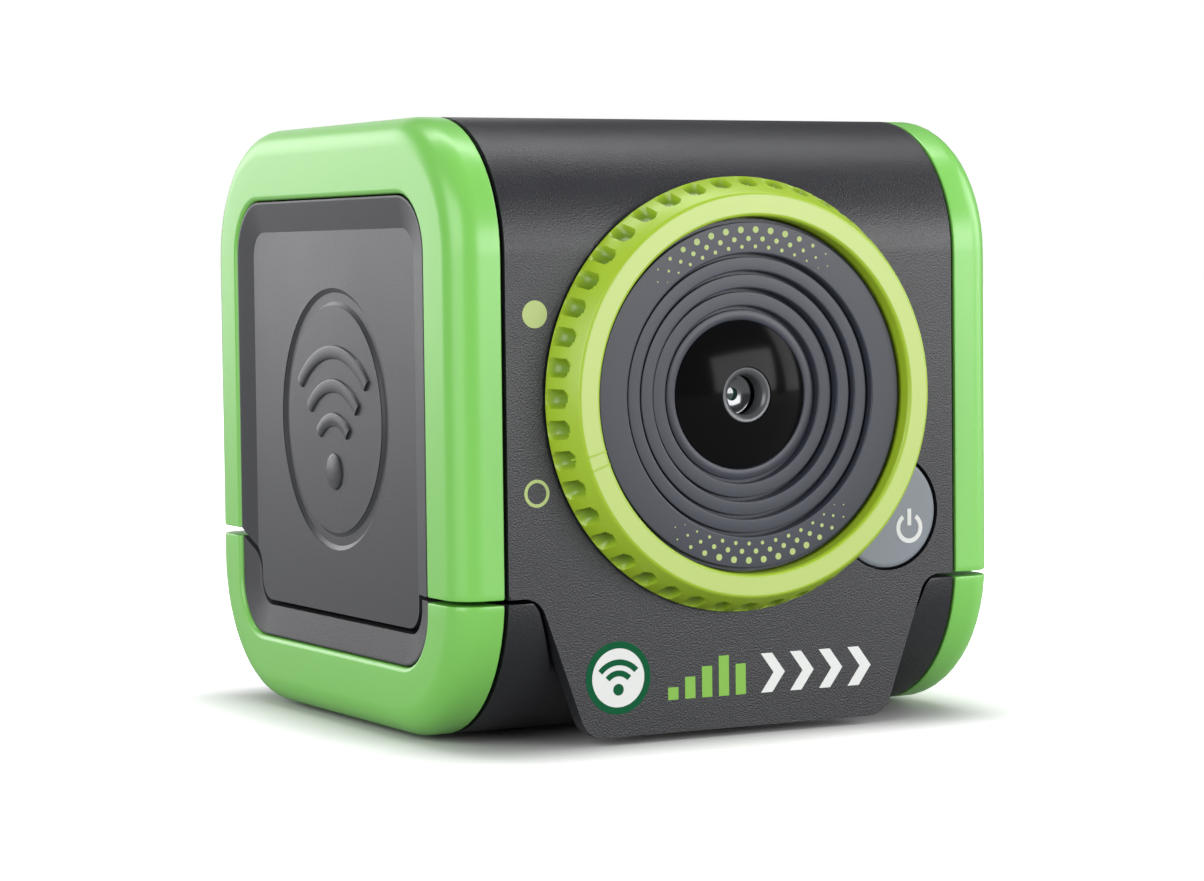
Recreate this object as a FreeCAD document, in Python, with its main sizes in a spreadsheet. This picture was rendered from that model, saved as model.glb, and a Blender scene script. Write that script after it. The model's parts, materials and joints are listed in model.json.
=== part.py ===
import FreeCAD, Part
import os
import re
import Sketcher
from FreeCAD import Placement, Rotation, Vector

# A toy motion camera that stands on a television: a cube-shaped body with a turning lens ring,
# on a base that swings open about a hinge at the back.  Millimetres, +Z up, lens facing -Y.
# Heights are measured from the floor, depths backwards from the flat front of the body.

doc = FreeCAD.newDocument("ToyCamera")

# ---------------------------------------------------------------- driving dimensions

SIZES = {
    "body_width": 80.1, "body_depth": 79.6, "body_height": 80.0,
    "top_radius": 18.0, "base_radius": 19.5, "wall": 2.4, "foot_height": 0.6,
    "running_clearance": 0.08, "fixing_clearance": 0.05, "moving_gap": 0.4,
    "frame_width": 6.45, "frame_round": 3.8, "frame_front": 9.5, "frame_rear": 8.6,
    "frame_top": 9.8, "frame_low": 9.75, "opening_radius": 7.7, "seam_width": 0.5, "seam_deep": 0.9,
    "split_front": 18.75, "split_front_gap": 0.6, "split_rear": 23.2, "split_rear_gap": 1.1,
    "parting_depth": 46.0,
    "panel_gap": 0.2, "panel_sunk": 0.25, "panel_thick": 3.4, "bevel_width": 4.0, "bevel_deep": 0.75,
    "bevel_inset": 0.2,
    "tongue_round": 3.0, "panel_tongue_low": 14.75, "panel_tongue_inset": 3.8,
    "panel_tongue_rear": 5.6, "panel_slant": 3.4,
    "apron_inset": 4.8, "apron_taper": 6.6, "apron_flare": 3.0, "apron_round": 3.5,
    "apron_clear": 0.5,
    "lens_height": 44.06, "ring_proud": 5.45, "ring_radius": 27.93, "ring_lift": 0.35,
    "band_outer": 25.7, "band_inner": 23.0, "ring_bore": 22.75, "collar_radius": 18.6,
    "collar_bore": 15.6, "collar_behind": 0.15, "web_front": 4.0,
    "cam_thick": 0.8, "cam_bore": 5.0, "retainer_thick": 1.0, "retainer_grip": 2.4,
    "bezel_radius": 22.5, "bezel_sunk": 1.62, "bezel_thick": 2.08, "bezel_hub": 15.2,
    "step_one": 18.07, "step_two": 15.86, "step_three": 13.64, "step_four": 11.36,
    "bezel_mouth": 9.53,
    "drop_one": 0.75, "drop_two": 0.64, "drop_three": 0.9, "drop_four": 0.7,
    "dome_sphere": 23.6, "dome_thick": 0.8, "dome_flange": 10.8, "flange_thick": 0.45,
    "trim_outer": 3.61, "trim_inner": 2.57, "trim_front": 2.99, "trim_length": 2.4,
    "leaf_front": 5.58, "leaf_thick": 0.25, "leaf_gap": 0.08, "leaf_half": 5.0, "leaf_edge": 2.95,
    "leaf_length": 7.3, "leaf_travel": 3.1, "leaf_pin_radius": 0.7, "leaf_pin_place": 9.4,
    "guide_thick": 0.8, "guide_bore": 4.6, "post_radius": 1.2, "post_place": 13.6,
    "ring_turn": 42.0,
    "glass_radius": 2.8, "glass_sphere": 4.6, "glass_edge": 1.0, "barrel_radius": 4.1,
    "barrel_length": 10.6, "barrel_wall": 1.2, "carrier_thick": 2.0, "carrier_gap": 0.4,
    "carrier_inset": 1.7, "boss_inset": 4.7, "boss_rise": 14.0, "boss_radius": 2.6,
    "screw_radius": 1.1,
    "head_radius": 2.1, "head_thick": 1.3, "board_thick": 1.4, "camera_board_half": 14.0,
    "camera_board_place": 13.6, "standoff_place": 9.0, "standoff_radius": 2.0, "pilot_radius": 0.75,
    "board_hole": 0.8,
    "small_screw": 0.7, "small_head": 1.5, "holder_half": 6.5, "holder_bore": 4.2,
    "sensor_half": 3.5,
    "board_space": 13.2, "board_inset": 5.8, "main_board_low": 28.0,
    "main_board_top": 70.0, "chip_size": 14.0, "chip_thick": 1.4, "pad_thick": 0.5,
    "sink_size": 22.0, "sink_thick": 6.0, "fin_width": 1.2, "flex_width": 12.0, "flex_thick": 0.3,
    "socket_height": 33.0, "socket_gap": 0.5, "board_post_radius": 2.4, "board_post_inset": 4.0,
    "hdmi_width": 15.0, "hdmi_tall": 5.6,
    "usb_x": 10.0, "usb_width": 9.2, "usb_tall": 3.4, "socket_wall": 0.45, "socket_sunk": 0.6,
    "socket_depth": 8.0, "tongue_thick": 1.1, "label_width": 34.0, "label_tall": 12.0,
    "label_thick": 0.4, "label_low": 40.0, "vent_width": 26.0, "vent_tall": 1.8, "vent_pitch": 3.6,
    "vent_low": 55.5,
    "button_radius": 7.5, "lug_clearance": 0.2, "button_height": 27.96, "button_travel": 0.5,
    "button_sunk": 0.1, "button_gap": 0.3, "stem_radius": 5.0, "stem_back": 4.4, "lug_reach": 0.6,
    "lug_half": 1.5, "lug_thick": 0.7, "plunger_radius": 1.6, "plunger_length": 1.4,
    "switch_size": 6.2, "switch_thick": 3.3, "button_board_half": 8.0, "board_clearance": 0.3,
    "board_edge": 2.3,
    "hinge_radius": 2.4, "pin_radius": 0.9, "hinge_inset": 4.0, "knuckle_length": 6.0,
    "knuckle_gap": 0.3,
    "case_boss_radius": 3.2, "case_boss_inset": 4.2, "case_boss_side": 2.2, "case_boss_length": 16.0,
    "case_screw_grip": 9.0, "driver_radius": 2.4,
    "cover_thick": 2.0, "cover_margin": 0.8, "cover_drop": 0.45, "pad_proud": 0.5, "pad_inset": 9.0,
    "base_boss_y": 22.0, "base_boss_x": 6.0, "foot_radius": 4.5, "foot_sunk": 0.8,
    "foot_inset": 11.6, "foot_y": 25.0,
}

sheet = doc.addObject("Spreadsheet::Sheet", "Dims")
for row, (alias, amount) in enumerate(SIZES.items(), 1):
    sheet.set(f"A{row}", alias)
    sheet.set(f"B{row}", str(amount))
    sheet.setAlias(f"B{row}", alias)
doc.recompute()

# Places that follow from the driving dimensions.  Depths of the lens parts count from the ring's
# front face ("ring_front" is that face behind the body's front, so it is negative).
PLACES = {
    "front_y": "(ring_proud - hinge_radius - body_depth) / 2",
    "half_width": "body_width / 2",
    "core_half": "half_width - frame_width",
    "inner_half": "core_half - wall",
    "rear_inner": "body_depth - wall",
    "front_floor": "split_front + split_front_gap",
    "rear_floor": "split_rear + split_rear_gap",
    "hinge_height": "split_rear + split_rear_gap / 2",
    "opening_back": "body_depth - frame_rear",
    "opening_top": "body_height - frame_top",
    "panel_face": "half_width - panel_sunk",
    "ring_front": "0 - ring_proud",
    "ring_back": "ring_proud - ring_lift",
    "collar_end": "ring_proud + wall + collar_behind",
    "collar_hole": "collar_radius + running_clearance",
    "retainer_radius": "collar_radius + retainer_grip",
    "retainer_front": "collar_end + cam_thick",
    "retainer_back": "retainer_front + retainer_thick",
    "rim_screw_place": "(collar_radius + collar_bore) / 2",
    "face_one": "bezel_sunk + drop_one",
    "face_two": "face_one + drop_two",
    "face_three": "face_two + drop_three",
    "face_four": "face_three + drop_four",
    "lip_back": "face_four + flange_thick",
    "flange_back": "lip_back + flange_thick",
    "leaf_middle": "leaf_front + leaf_thick + leaf_gap",
    "guide_front": "leaf_middle + leaf_thick + leaf_gap",
    "guide_back": "guide_front + guide_thick",
    "chamber": "step_four + 0.5",
    "slot_half": "leaf_pin_radius + running_clearance",
    "carrier_front": "retainer_back - ring_proud + carrier_gap",
    "carrier_back": "carrier_front + carrier_thick",
    "glass_front": "guide_front + running_clearance",
    "glass_back": "glass_front + glass_edge",
    "barrel_front": "glass_front + 0.3",
    "barrel_end": "barrel_front + barrel_length",
    "button_x": "inner_half - lug_clearance - lug_reach - button_radius",
    "button_bore": "button_radius + button_gap",
    "lug_end": "button_radius + lug_reach",
    "switch_front": "stem_back + button_travel + moving_gap",
    "switch_back": "switch_front + switch_thick",
    "base_cover_top": "split_front - cover_drop",
    "case_boss_x": "inner_half - case_boss_side",
    "case_boss_top": "body_height - wall - case_boss_inset",
    "case_boss_low": "rear_floor + wall + case_boss_inset",
    "floor_inside": "foot_height + wall",
    "base_boss_half": "inner_half - base_boss_x",
    "apron_gap": "moving_gap + 0.2",
    "apron_top_half": "core_half - apron_inset",
    "apron_low_half": "apron_top_half - apron_taper",
    "carrier_half": "inner_half - carrier_inset",
    "boss_x": "inner_half - boss_inset",
    "main_board_half": "inner_half - board_inset",
    "main_board_place": "rear_inner - board_space",
    "foot_x": "core_half - foot_inset",
    "button_board_side": "standoff_place + standoff_radius + board_clearance",
    "board_post_x": "main_board_half - board_post_inset",
    "hdmi_x": "board_post_radius + socket_gap + hdmi_width / 2 - board_post_x",
}


def formula(text):
    """A formula of plain names, rewritten so that each name reads the sheet."""
    def look_up(found):
        word = found.group(0)
        if word in PLACES:
            return "(" + formula(PLACES[word]) + ")"
        return "Dims." + word if word in SIZES else word
    return re.sub(r"[a-z_]+[a-z_0-9]*", look_up, str(text))


gauge = doc.addObject("App::FeaturePython", "Gauge")
gauge.addProperty("App::PropertyFloat", "Reading")


def measure(text):
    """The value that a formula has with the sheet as it stands."""
    gauge.setExpression("Reading", formula(text))
    gauge.recompute()
    return gauge.Reading


# ---------------------------------------------------------------- ways of making a solid

sub_parts = []


def keep(solid, label):
    """Name a finished solid, so that it is written out as a sub-part."""
    solid.Label = label
    sub_parts.append(solid)
    return solid


def box(across, depth, rise):
    """A block between a low and a high limit on X, on depth and on height."""
    block = doc.addObject("Part::Box", "Block")
    for side, axis, (low, high) in zip(("Length", "Width", "Height"), "xyz", (across, depth, rise)):
        start = f"front_y + ({low})" if axis == "y" else low
        block.setExpression(side, formula(f"({high}) - ({low})"))
        block.setExpression(f"Placement.Base.{axis}", formula(start))
    return block


TURNS = {
    "x": Rotation(Vector(0, 1, 0), 90),
    "y": Rotation(Vector(1, 0, 0), -90),
    "z": Rotation(),
}


def rod(axis, radius, x="0", y="0", z="0", to="1"):
    """A round bar that starts at a point and runs along an axis up to the place given as to."""
    bar = doc.addObject("Part::Cylinder", "Rod")
    bar.Placement = Placement(Vector(), TURNS[axis])
    start = {"x": x, "y": y, "z": z}
    bar.setExpression("Radius", formula(radius))
    bar.setExpression("Height", formula(f"({to}) - ({start[axis]})"))
    for name, place in start.items():
        shift = f"front_y + ({place})" if name == "y" else place
        bar.setExpression(f"Placement.Base.{name}", formula(shift))
    return bar


def lens_rod(radius, near, far, x="0", rise="0"):
    """A round bar beside the lens axis; its depths count from the front of the lens ring."""
    height = f"lens_height + ({rise})"
    return rod("y", radius, x=x, y=f"ring_front + {near}", z=height, to=f"ring_front + {far}")


def fuse(*solids):
    """Join several solids; solids that do not touch stay separate in one group."""
    joined = doc.addObject("Part::MultiFuse", "Joined")
    joined.Shapes = list(solids)
    return joined


def cut(base, *tools):
    """Take one or more tools away from a solid."""
    left = doc.addObject("Part::Cut", "Cut")
    left.Base = base
    left.Tool = tools[0] if len(tools) == 1 else fuse(*tools)
    return left


def inside(first, second):
    """The space that two solids share."""
    shared = doc.addObject("Part::Common", "Shared")
    shared.Base = first
    shared.Tool = second
    return shared


def new_body(x="0", y="front_y", z="0"):
    """An empty body, placed by three formulas."""
    body = doc.addObject("PartDesign::Body", "Body")
    for axis, place in zip("xyz", (x, y, z)):
        body.setExpression(f"Placement.Base.{axis}", formula(place))
    return body


def origin_plane(body, role):
    """One of a body's own three origin planes."""
    return next(plane for plane in body.Origin.OriginFeatures if plane.Role == role)


def outline(body, role, points, offset="0"):
    """A closed sketch with straight sides, each corner held by two formulas."""
    sketch = body.newObject("Sketcher::SketchObject", "Outline")
    sketch.AttachmentSupport = [(origin_plane(body, role), "")]
    sketch.MapMode = "FlatFace"
    sketch.setExpression("AttachmentOffset.Base.z", formula(offset))
    corners = [Vector(measure(across), measure(up), 0) for across, up in points]
    count = len(corners)
    for number, corner in enumerate(corners):
        sketch.addGeometry(Part.LineSegment(corner, corners[(number + 1) % count]))
    for number in range(count):
        sketch.addConstraint(Sketcher.Constraint("Coincident", number, 2, (number + 1) % count, 1))
    for number, (corner, formulas) in enumerate(zip(corners, points)):
        for kind, amount, text in zip(("DistanceX", "DistanceY"), corner, formulas):
            index = sketch.addConstraint(Sketcher.Constraint(kind, -1, 1, number, 1, amount))
            sketch.setExpression(f"Constraints[{index}]", formula(text))
    return sketch


def soften(body, size, wanted):
    """A fillet on the edges that the test wants."""
    doc.recompute()
    before = body.Tip
    edges = [f"Edge{number}" for number, edge in enumerate(before.Shape.Edges, 1) if wanted(edge)]
    feature = body.newObject("PartDesign::Fillet", "Round")
    feature.Base = (before, edges)
    feature.setExpression("Radius", formula(size))
    body.Tip = feature
    return feature


def along(axis, places=None):
    """A test for straight edges along an axis, near any of the given pairs of the other axes."""
    index = "xyz".index(axis)
    others = [number for number in range(3) if number != index]

    def wanted(edge):
        middle = edge.CenterOfMass
        straight = edge.Curve.TypeId == "Part::GeomLine"
        if not straight or abs(abs(edge.tangentAt(edge.FirstParameter)[index]) - 1) > 1e-6:
            return False
        if places is None:
            return True
        spots = [[measure(text) for text in place] for place in places]
        return any(abs(middle[others[0]] - a) + abs(middle[others[1]] - b) < 0.01 for a, b in spots)
    return wanted


def on_side(x):
    """A test for the edges that lie in one plane square to X."""
    def wanted(edge):
        reach = edge.BoundBox
        return abs(reach.XMin - measure(x)) < 0.001 and abs(reach.XMax - measure(x)) < 0.001
    return wanted


def plate(role, points, low, high):
    """A body: an outline raised from one limit to another along its plane's normal."""
    body = new_body()
    pad = body.newObject("PartDesign::Pad", "Raised")
    pad.Profile = outline(body, role, points, low)
    pad.setExpression("Length", formula(f"({high}) - ({low})"))
    return body


def turned(points):
    """A body turned about the lens axis from (radius, depth behind the ring's front) corners."""
    body = new_body(y="front_y - ring_proud", z="lens_height")
    turn = body.newObject("PartDesign::Revolution", "Turned")
    sketch = outline(body, "XY_Plane", points)
    turn.Profile = sketch
    turn.ReferenceAxis = (sketch, ["V_Axis"])
    turn.Angle = 360
    return body


def rounded_block(low, high, inset):
    """The body's side profile, inset all round, between two limits of X."""
    front = inset
    back = f"body_depth - ({inset})"
    floor = f"foot_height + ({inset})"
    top = f"body_height - ({inset})"
    body = plate("YZ_Plane", [(front, floor), (back, floor), (back, top), (front, top)], low, high)
    soften(body, f"top_radius - ({inset})", along("x", [(front, top), (back, top)]))
    soften(body, f"base_radius - ({inset})", along("x", [(front, floor), (back, floor)]))
    return body


# ---------------------------------------------------------------- the camera body's two shells

# The shells and the base share one rounded outline, with a groove beside each coloured frame.
middle_half = "(core_half - seam_width)"
core = fuse(
    rounded_block(f"0 - {middle_half}", middle_half, "0"),
    rounded_block("0 - core_half", "core_half", "seam_deep"),
)
hollow = rounded_block("0 - inner_half", "inner_half", "wall")
beyond = "body_depth + 5"
everywhere = ("0 - half_width", "half_width")

case_boss_places = [
    (f"{side} * case_boss_x", height) for side in (-1, 1) for height in ("case_boss_low", "case_boss_top")
]
carrier_places = [
    ("boss_x", "lens_height + boss_rise"),
    ("0 - boss_x", "lens_height + boss_rise"),
    ("0 - boss_x", "lens_height - boss_rise"),
]
board_places = [
    (f"{side} * board_post_x", height)
    for side in (-1, 1) for height in ("main_board_low + 4", "main_board_top - 4")
]
button_board_places = [
    ("button_board_side + board_edge", "button_height - 3.2"),
    ("button_x + 5.6", "button_height + button_board_half"),
]


def knuckle(side, number, radius, grow="0"):
    """One hinge barrel, on the axis along the lower back edge of the body."""
    start = f"inner_half - hinge_inset - ({number} + 1) * knuckle_length - {number} * knuckle_gap - ({grow})"
    end = f"inner_half - hinge_inset - {number} * (knuckle_length + knuckle_gap) + ({grow})"
    low, high = (start, end) if side > 0 else (f"0 - ({end})", f"0 - ({start})")
    return rod("x", radius, x=low, y="body_depth", z="hinge_height", to=high)


def apron(grow, back):
    """The tongue of the front shell that hangs over the base, grown all round by a gap."""
    top = f"(apron_top_half + {grow})"
    low = f"(apron_low_half + {grow})"
    flare = "(apron_top_half + apron_flare + 1)"
    bottom = f"foot_height + apron_clear - {grow}"
    points = [
        (f"0 - {low}", bottom), (low, bottom), (top, "front_floor"), (flare, "front_floor"),
        (flare, "front_floor + wall"), (f"0 - {flare}", "front_floor + wall"),
        (f"0 - {flare}", "front_floor"), (f"0 - {top}", "front_floor"),
    ]
    body = plate("XZ_Plane", points, f"0 - ({back})", "0")
    sides = [(f"{side} * {top}", "front_floor") for side in (-1, 1)]
    corners = [(f"{side} * {low}", bottom) for side in (-1, 1)]
    soften(body, "apron_flare", along("y", sides))
    soften(body, "apron_round", along("y", corners))
    return body


def front_housing():
    """Front shell: lens wall, roof front, floor, apron, bosses for the lens carrier and screws."""
    region = box(everywhere, ("0", "parting_depth"), ("front_floor", "body_height"))
    space = box(everywhere, ("0", "parting_depth + 1"), ("front_floor + wall", "body_height"))
    shell = cut(inside(core, region), inside(hollow, space))
    bosses = [rod("y", "case_boss_radius", x=x, y="parting_depth - case_boss_length", z=z,
                  to="parting_depth") for x, z in case_boss_places]
    mounts = [rod("y", "boss_radius", x=x, y="wall", z=z, to="carrier_front") for x, z in carrier_places]
    mounts += [rod("y", "standoff_radius", x=x, y="wall", z=z, to="switch_back")
               for x, z in button_board_places]
    solid = fuse(shell, inside(core, fuse(*bosses, *mounts)), apron("0", "wall"))
    bores = [rod("y", "screw_radius + fixing_clearance", x=x, y="parting_depth - case_screw_grip - 2",
                 z=z, to="parting_depth + 1") for x, z in case_boss_places]
    bores += [rod("y", "screw_radius + fixing_clearance", x=x, y="1", z=z, to="carrier_front + 1")
              for x, z in carrier_places]
    bores += [rod("y", "pilot_radius", x=x, y="wall + 0.5", z=z, to="switch_back + 1")
              for x, z in button_board_places]
    pad_space = box(("0 - inner_half + pad_inset", "inner_half - pad_inset"),
                    ("pad_inset", "parting_depth - pad_inset"), ("0", "front_floor + pad_proud"))
    solid = cut(solid, lens_rod("collar_hole", "0", "ring_proud + wall + 0.5"),
                rod("y", "button_bore", x="button_x", y="0 - 1", z="button_height",
                    to="wall + button_travel + moving_gap"),
                lens_rod("retainer_radius + 0.3", "(ring_proud + wall)", "(carrier_front + ring_proud)"),
                pad_space, *bores)
    return keep(solid, "front_housing")


def rear_housing():
    """Rear shell: back wall with sockets, vents, label recess, screw wells and hinge barrels."""
    region = box(everywhere, ("parting_depth", "body_depth"), ("rear_floor", "body_height"))
    space = box(everywhere, ("parting_depth - 1", "body_depth"), ("rear_floor + wall", "body_height"))
    shell = cut(inside(core, region), inside(hollow, space))
    wells = [rod("y", "case_boss_radius", x=x, y="parting_depth", z=z, to="rear_inner + 1")
             for x, z in case_boss_places]
    posts = [rod("y", "board_post_radius", x=x, y="main_board_place + board_thick", z=z, to="rear_inner + 1")
             for x, z in board_places]
    barrels = [knuckle(side, 1, "hinge_radius") for side in (-1, 1)]
    solid = fuse(shell, inside(core, fuse(*wells, *posts)), *barrels)
    tools = [knuckle(side, number, "hinge_radius + moving_gap", "knuckle_gap")
             for side in (-1, 1) for number in (0, 2)]
    tools += [knuckle(side, 1, "pin_radius + fixing_clearance", "1") for side in (-1, 1)]
    for x, z in case_boss_places:
        seat = "parting_depth + case_screw_grip / 3"
        tools.append(rod("y", "driver_radius", x=x, y=seat, z=z, to=beyond))
        tools.append(rod("y", "screw_radius + fixing_clearance", x=x, y="parting_depth - 1", z=z, to=seat))
    tools += [rod("y", "screw_radius + fixing_clearance", x=x, y="main_board_place",
                  z=z, to="main_board_place + 9") for x, z in board_places]
    for x, width, tall in (("hdmi_x", "hdmi_width", "hdmi_tall"), ("usb_x", "usb_width", "usb_tall")):
        tools.append(box((f"{x} - {width} / 2 - 0.2", f"{x} + {width} / 2 + 0.2"), ("rear_inner - 1", beyond),
                         (f"socket_height - {tall} / 2 - 0.2", f"socket_height + {tall} / 2 + 0.2")))
    tools.append(box(("0 - label_width / 2", "label_width / 2"), ("body_depth - label_thick", beyond),
                     ("label_low", "label_low + label_tall")))
    for number in range(4):
        low = f"vent_low + {number} * vent_pitch"
        tools.append(box(("0 - vent_width / 2", "vent_width / 2"), ("rear_inner - 1", beyond),
                         (low, f"{low} + vent_tall")))
    return keep(cut(solid, *tools), "rear_housing")


front_housing()
rear_housing()
keep(box(("0 - label_width / 2 + 0.2", "label_width / 2 - 0.2"), ("body_depth - label_thick", "body_depth"),
         ("label_low + 0.2", "label_low + label_tall - 0.2")), "rear_label")
keep(box(("0 - inner_half + pad_inset + 0.2", "inner_half - pad_inset - 0.2"),
         ("pad_inset + 0.2", "parting_depth - pad_inset - 0.2"), ("front_floor", "front_floor + pad_proud")),
     "housing_grip_pad")


def housing_screws():
    """Four screws, driven from the back down deep wells into the front shell's bosses."""
    pieces = []
    seat = "parting_depth + case_screw_grip / 3"
    for x, z in case_boss_places:
        head = rod("y", "head_radius", x=x, y=seat, z=z, to=f"{seat} + head_thick")
        shaft = rod("y", "screw_radius", x=x, y="parting_depth - case_screw_grip", z=z, to=seat)
        pieces.append(fuse(head, shaft))
    return keep(fuse(*pieces), "housing_screws")


housing_screws()

# ---------------------------------------------------------------- coloured frames and side panels


def side_frame(side):
    """A full side frame: the side profile with a big round on its outer edge and an opening."""
    near = "core_half" if side > 0 else "0 - half_width"
    far = "half_width" if side > 0 else "0 - core_half"
    ring = rounded_block(near, far, "0")
    soften(ring, "frame_round", on_side(f"{side} * half_width"))
    points = [("frame_front", "frame_low"), ("opening_back", "frame_low"),
              ("opening_back", "opening_top"), ("frame_front", "opening_top")]
    window = plate("YZ_Plane", points, f"{near} - 1", f"{far} + 1")
    soften(window, "opening_radius", along("x"))
    return cut(ring, window)


def panel_limits(side, back, face):
    """Low and high X of a piece on one side, given its distances from the middle."""
    return (back, face) if side > 0 else (f"0 - ({face})", f"0 - ({back})")


def sunk_field(side, front, rear, top):
    """The hollow in a side panel: a flat field with a slope at its front, back and top."""
    slope = "(bevel_width - bevel_inset)"
    near, far = (f"0 - {rear}", f"0 - {front}") if side > 0 else (front, rear)
    wedge = doc.addObject("Part::Wedge", "Field")
    wedge.Placement = Placement(Vector(), Rotation(Vector(0, 0, 1), -90 * side))
    limits = {
        "Ymin": "panel_face - bevel_deep", "Ymax": "panel_face",
        "Xmin": f"{near} + {slope}", "Xmax": f"{far} - {slope}", "X2min": near, "X2max": far,
        "Zmin": "0", "Zmax": f"{top} - {slope}", "Z2min": "0", "Z2max": top,
    }
    for limit, text in limits.items():
        wedge.setExpression(limit, formula(text))
    wedge.setExpression("Placement.Base.y", formula("front_y"))
    return wedge


def side_panel(side, name):
    """A panel with a sloping border and a sunk flat field whose tongue reaches into the base."""
    back, face = "panel_face - panel_thick", "panel_face"
    low, high = panel_limits(side, back, face)
    front, rear = "frame_front + panel_gap", "opening_back - panel_gap"
    tongue_front, tongue_rear = f"({front} + panel_tongue_inset)", f"({rear} - panel_tongue_rear)"
    top = "opening_top - panel_gap"
    points = [
        (front, "front_floor"), (tongue_front, "front_floor"), (tongue_front, "panel_tongue_low"),
        (tongue_rear, "panel_tongue_low"), (tongue_rear, "rear_floor - panel_slant"),
        (rear, "rear_floor"), (rear, top), (front, top),
    ]
    body = plate("YZ_Plane", points, low, high)
    soften(body, "opening_radius - panel_gap", along("x", [(front, top), (rear, top)]))
    tip = [(tongue_front, "panel_tongue_low"), (tongue_rear, "panel_tongue_low")]
    soften(body, "tongue_round", along("x", tip))
    field = sunk_field(side, f"({front} + bevel_inset)", f"({rear} - bevel_inset)", f"({top} - bevel_inset)")
    return keep(cut(body, field), name)


upper_regions = (
    box(everywhere, ("0", "parting_depth"), ("front_floor", "body_height")),
    box(everywhere, ("parting_depth", "body_depth"), ("rear_floor", "body_height")),
)
upper_region = fuse(*upper_regions)
base_region = fuse(
    box(everywhere, ("0", "parting_depth + moving_gap"), ("0", "split_front")),
    box(everywhere, ("parting_depth + moving_gap", "body_depth"), ("0", "split_rear")),
)
for side, name in ((-1, "left"), (1, "right")):
    whole = side_frame(side)
    keep(inside(whole, upper_region), f"{name}_frame_upper")
    keep(inside(whole, base_region), f"base_{name}_frame")
    side_panel(side, f"{name}_side_panel")

# ---------------------------------------------------------------- lens ring and what turns with it

ring_body = turned([
    ("ring_bore", "0.3"), ("band_inner", "0"), ("band_outer", "0"),
    ("band_outer + (ring_radius - band_outer) * 0.48", "ring_back * 0.4"),
    ("ring_radius", "ring_back * 0.94"), ("ring_radius", "ring_back"), ("collar_radius", "ring_back"),
    ("collar_radius", "collar_end"), ("collar_bore", "collar_end"), ("collar_bore", "web_front"),
    ("ring_bore", "web_front"),
])


def on_circle(radius, degrees):
    """X and height of a point on a circle about the lens axis, as formulas."""
    return f"({radius}) * cos({degrees})", f"({radius}) * sin({degrees})"


rim_screw_spots = [on_circle("rim_screw_place", 60 + 120 * number) for number in range(3)]


def rim_bores(near, far, extra):
    """Three screw-sized bars through the ring's collar, the cam and the retainer."""
    return [lens_rod(f"0.7 + {extra}", near, far, x, rise) for x, rise in rim_screw_spots]


keep(cut(ring_body, *rim_bores("(web_front + 1.5)", "(collar_end + 1)", "fixing_clearance")), "lens_ring")


def curved_slot(start_radius, end_radius, start_angle, sweep, half, name):
    """A slot tool whose middle line winds evenly from one radius to another about the lens axis."""
    depth = measure("front_y - ring_proud + collar_end - 1")
    spots = []
    for share in (0.0, 0.5, 1.0):
        reach = start_radius + (end_radius - start_radius) * share
        turn = Rotation(Vector(0, -1, 0), start_angle + sweep * share)
        spots.append(turn.multVec(Vector(reach, 0, 0)) + Vector(0, depth, measure("lens_height")))
    path = Part.Wire([Part.Arc(*spots).toShape()])
    slot = doc.addObject("Part::Feature", name)
    band = path.makeOffset2D(half, 0, True, False, False)
    slot.Shape = band.extrude(Vector(0, measure("cam_thick") + 2, 0))
    slot.Placement = Placement()
    return slot


def shutter_cam():
    """Disc clamped to the collar: two spiral slots drive the leaves, three clear the guide posts."""
    disc = turned([("cam_bore", "collar_end"), ("collar_radius", "collar_end"),
                   ("collar_radius", "retainer_front"), ("cam_bore", "retainer_front")])
    turn = measure("ring_turn")
    closed = measure("leaf_pin_place - leaf_travel")
    slots = [curved_slot(measure("leaf_pin_place"), closed, start, turn, measure("slot_half"), "SpiralSlot")
             for start in (90, 270)]
    post = measure("post_place")
    clear = measure("post_radius + moving_gap")
    slots += [curved_slot(post, post, start, turn, clear, "PostSlot") for start in (30, 150, 270)]
    return keep(cut(disc, *slots, *rim_bores("(collar_end - 1)", "(retainer_front + 1)", "fixing_clearance")),
                "shutter_cam")


shutter_cam()
retainer_body = turned([("collar_bore", "retainer_front"), ("retainer_radius", "retainer_front"),
                        ("retainer_radius", "retainer_back"), ("collar_bore", "retainer_back")])
head_sink = [lens_rod("1.4", "(retainer_back - 0.6)", "(retainer_back + 1)", x, rise)
             for x, rise in rim_screw_spots]
keep(cut(retainer_body, *head_sink,
         *rim_bores("(retainer_front - 1)", "(retainer_back + 1)", "fixing_clearance")), "ring_retainer")
keep(fuse(*[
    fuse(lens_rod("0.7", "(web_front + 2)", "(retainer_back - 0.6)", x, rise),
         lens_rod("1.35", "(retainer_back - 0.6)", "(retainer_back - 0.05)", x, rise))
    for x, rise in rim_screw_spots]), "retainer_screws")
keep(turned([
    ("collar_radius + 0.3", "ring_proud + wall + 0.1"), ("retainer_radius - 0.8", "ring_proud + wall + 0.1"),
    ("retainer_radius - 0.8", "retainer_front"), ("collar_radius + 0.3", "retainer_front")]),
    "friction_washer")

# ---------------------------------------------------------------- fixed lens parts

bezel_body = turned([
    ("bezel_radius", "bezel_sunk"), ("bezel_radius", "bezel_sunk + bezel_thick"),
    ("bezel_hub", "bezel_sunk + bezel_thick"), ("bezel_hub", "guide_front"), ("chamber", "guide_front"),
    ("chamber", "flange_back"), ("dome_flange + 0.05", "flange_back"), ("dome_flange + 0.05", "lip_back"),
    ("bezel_mouth", "lip_back"), ("bezel_mouth", "face_four"), ("step_four", "face_four"),
    ("step_four", "face_three"), ("step_three", "face_three"), ("step_three", "face_two"),
    ("step_two", "face_two"), ("step_two", "face_one"), ("step_one", "face_one"),
    ("step_one", "bezel_sunk"),
])
keep(bezel_body, "bezel_disc")


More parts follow.
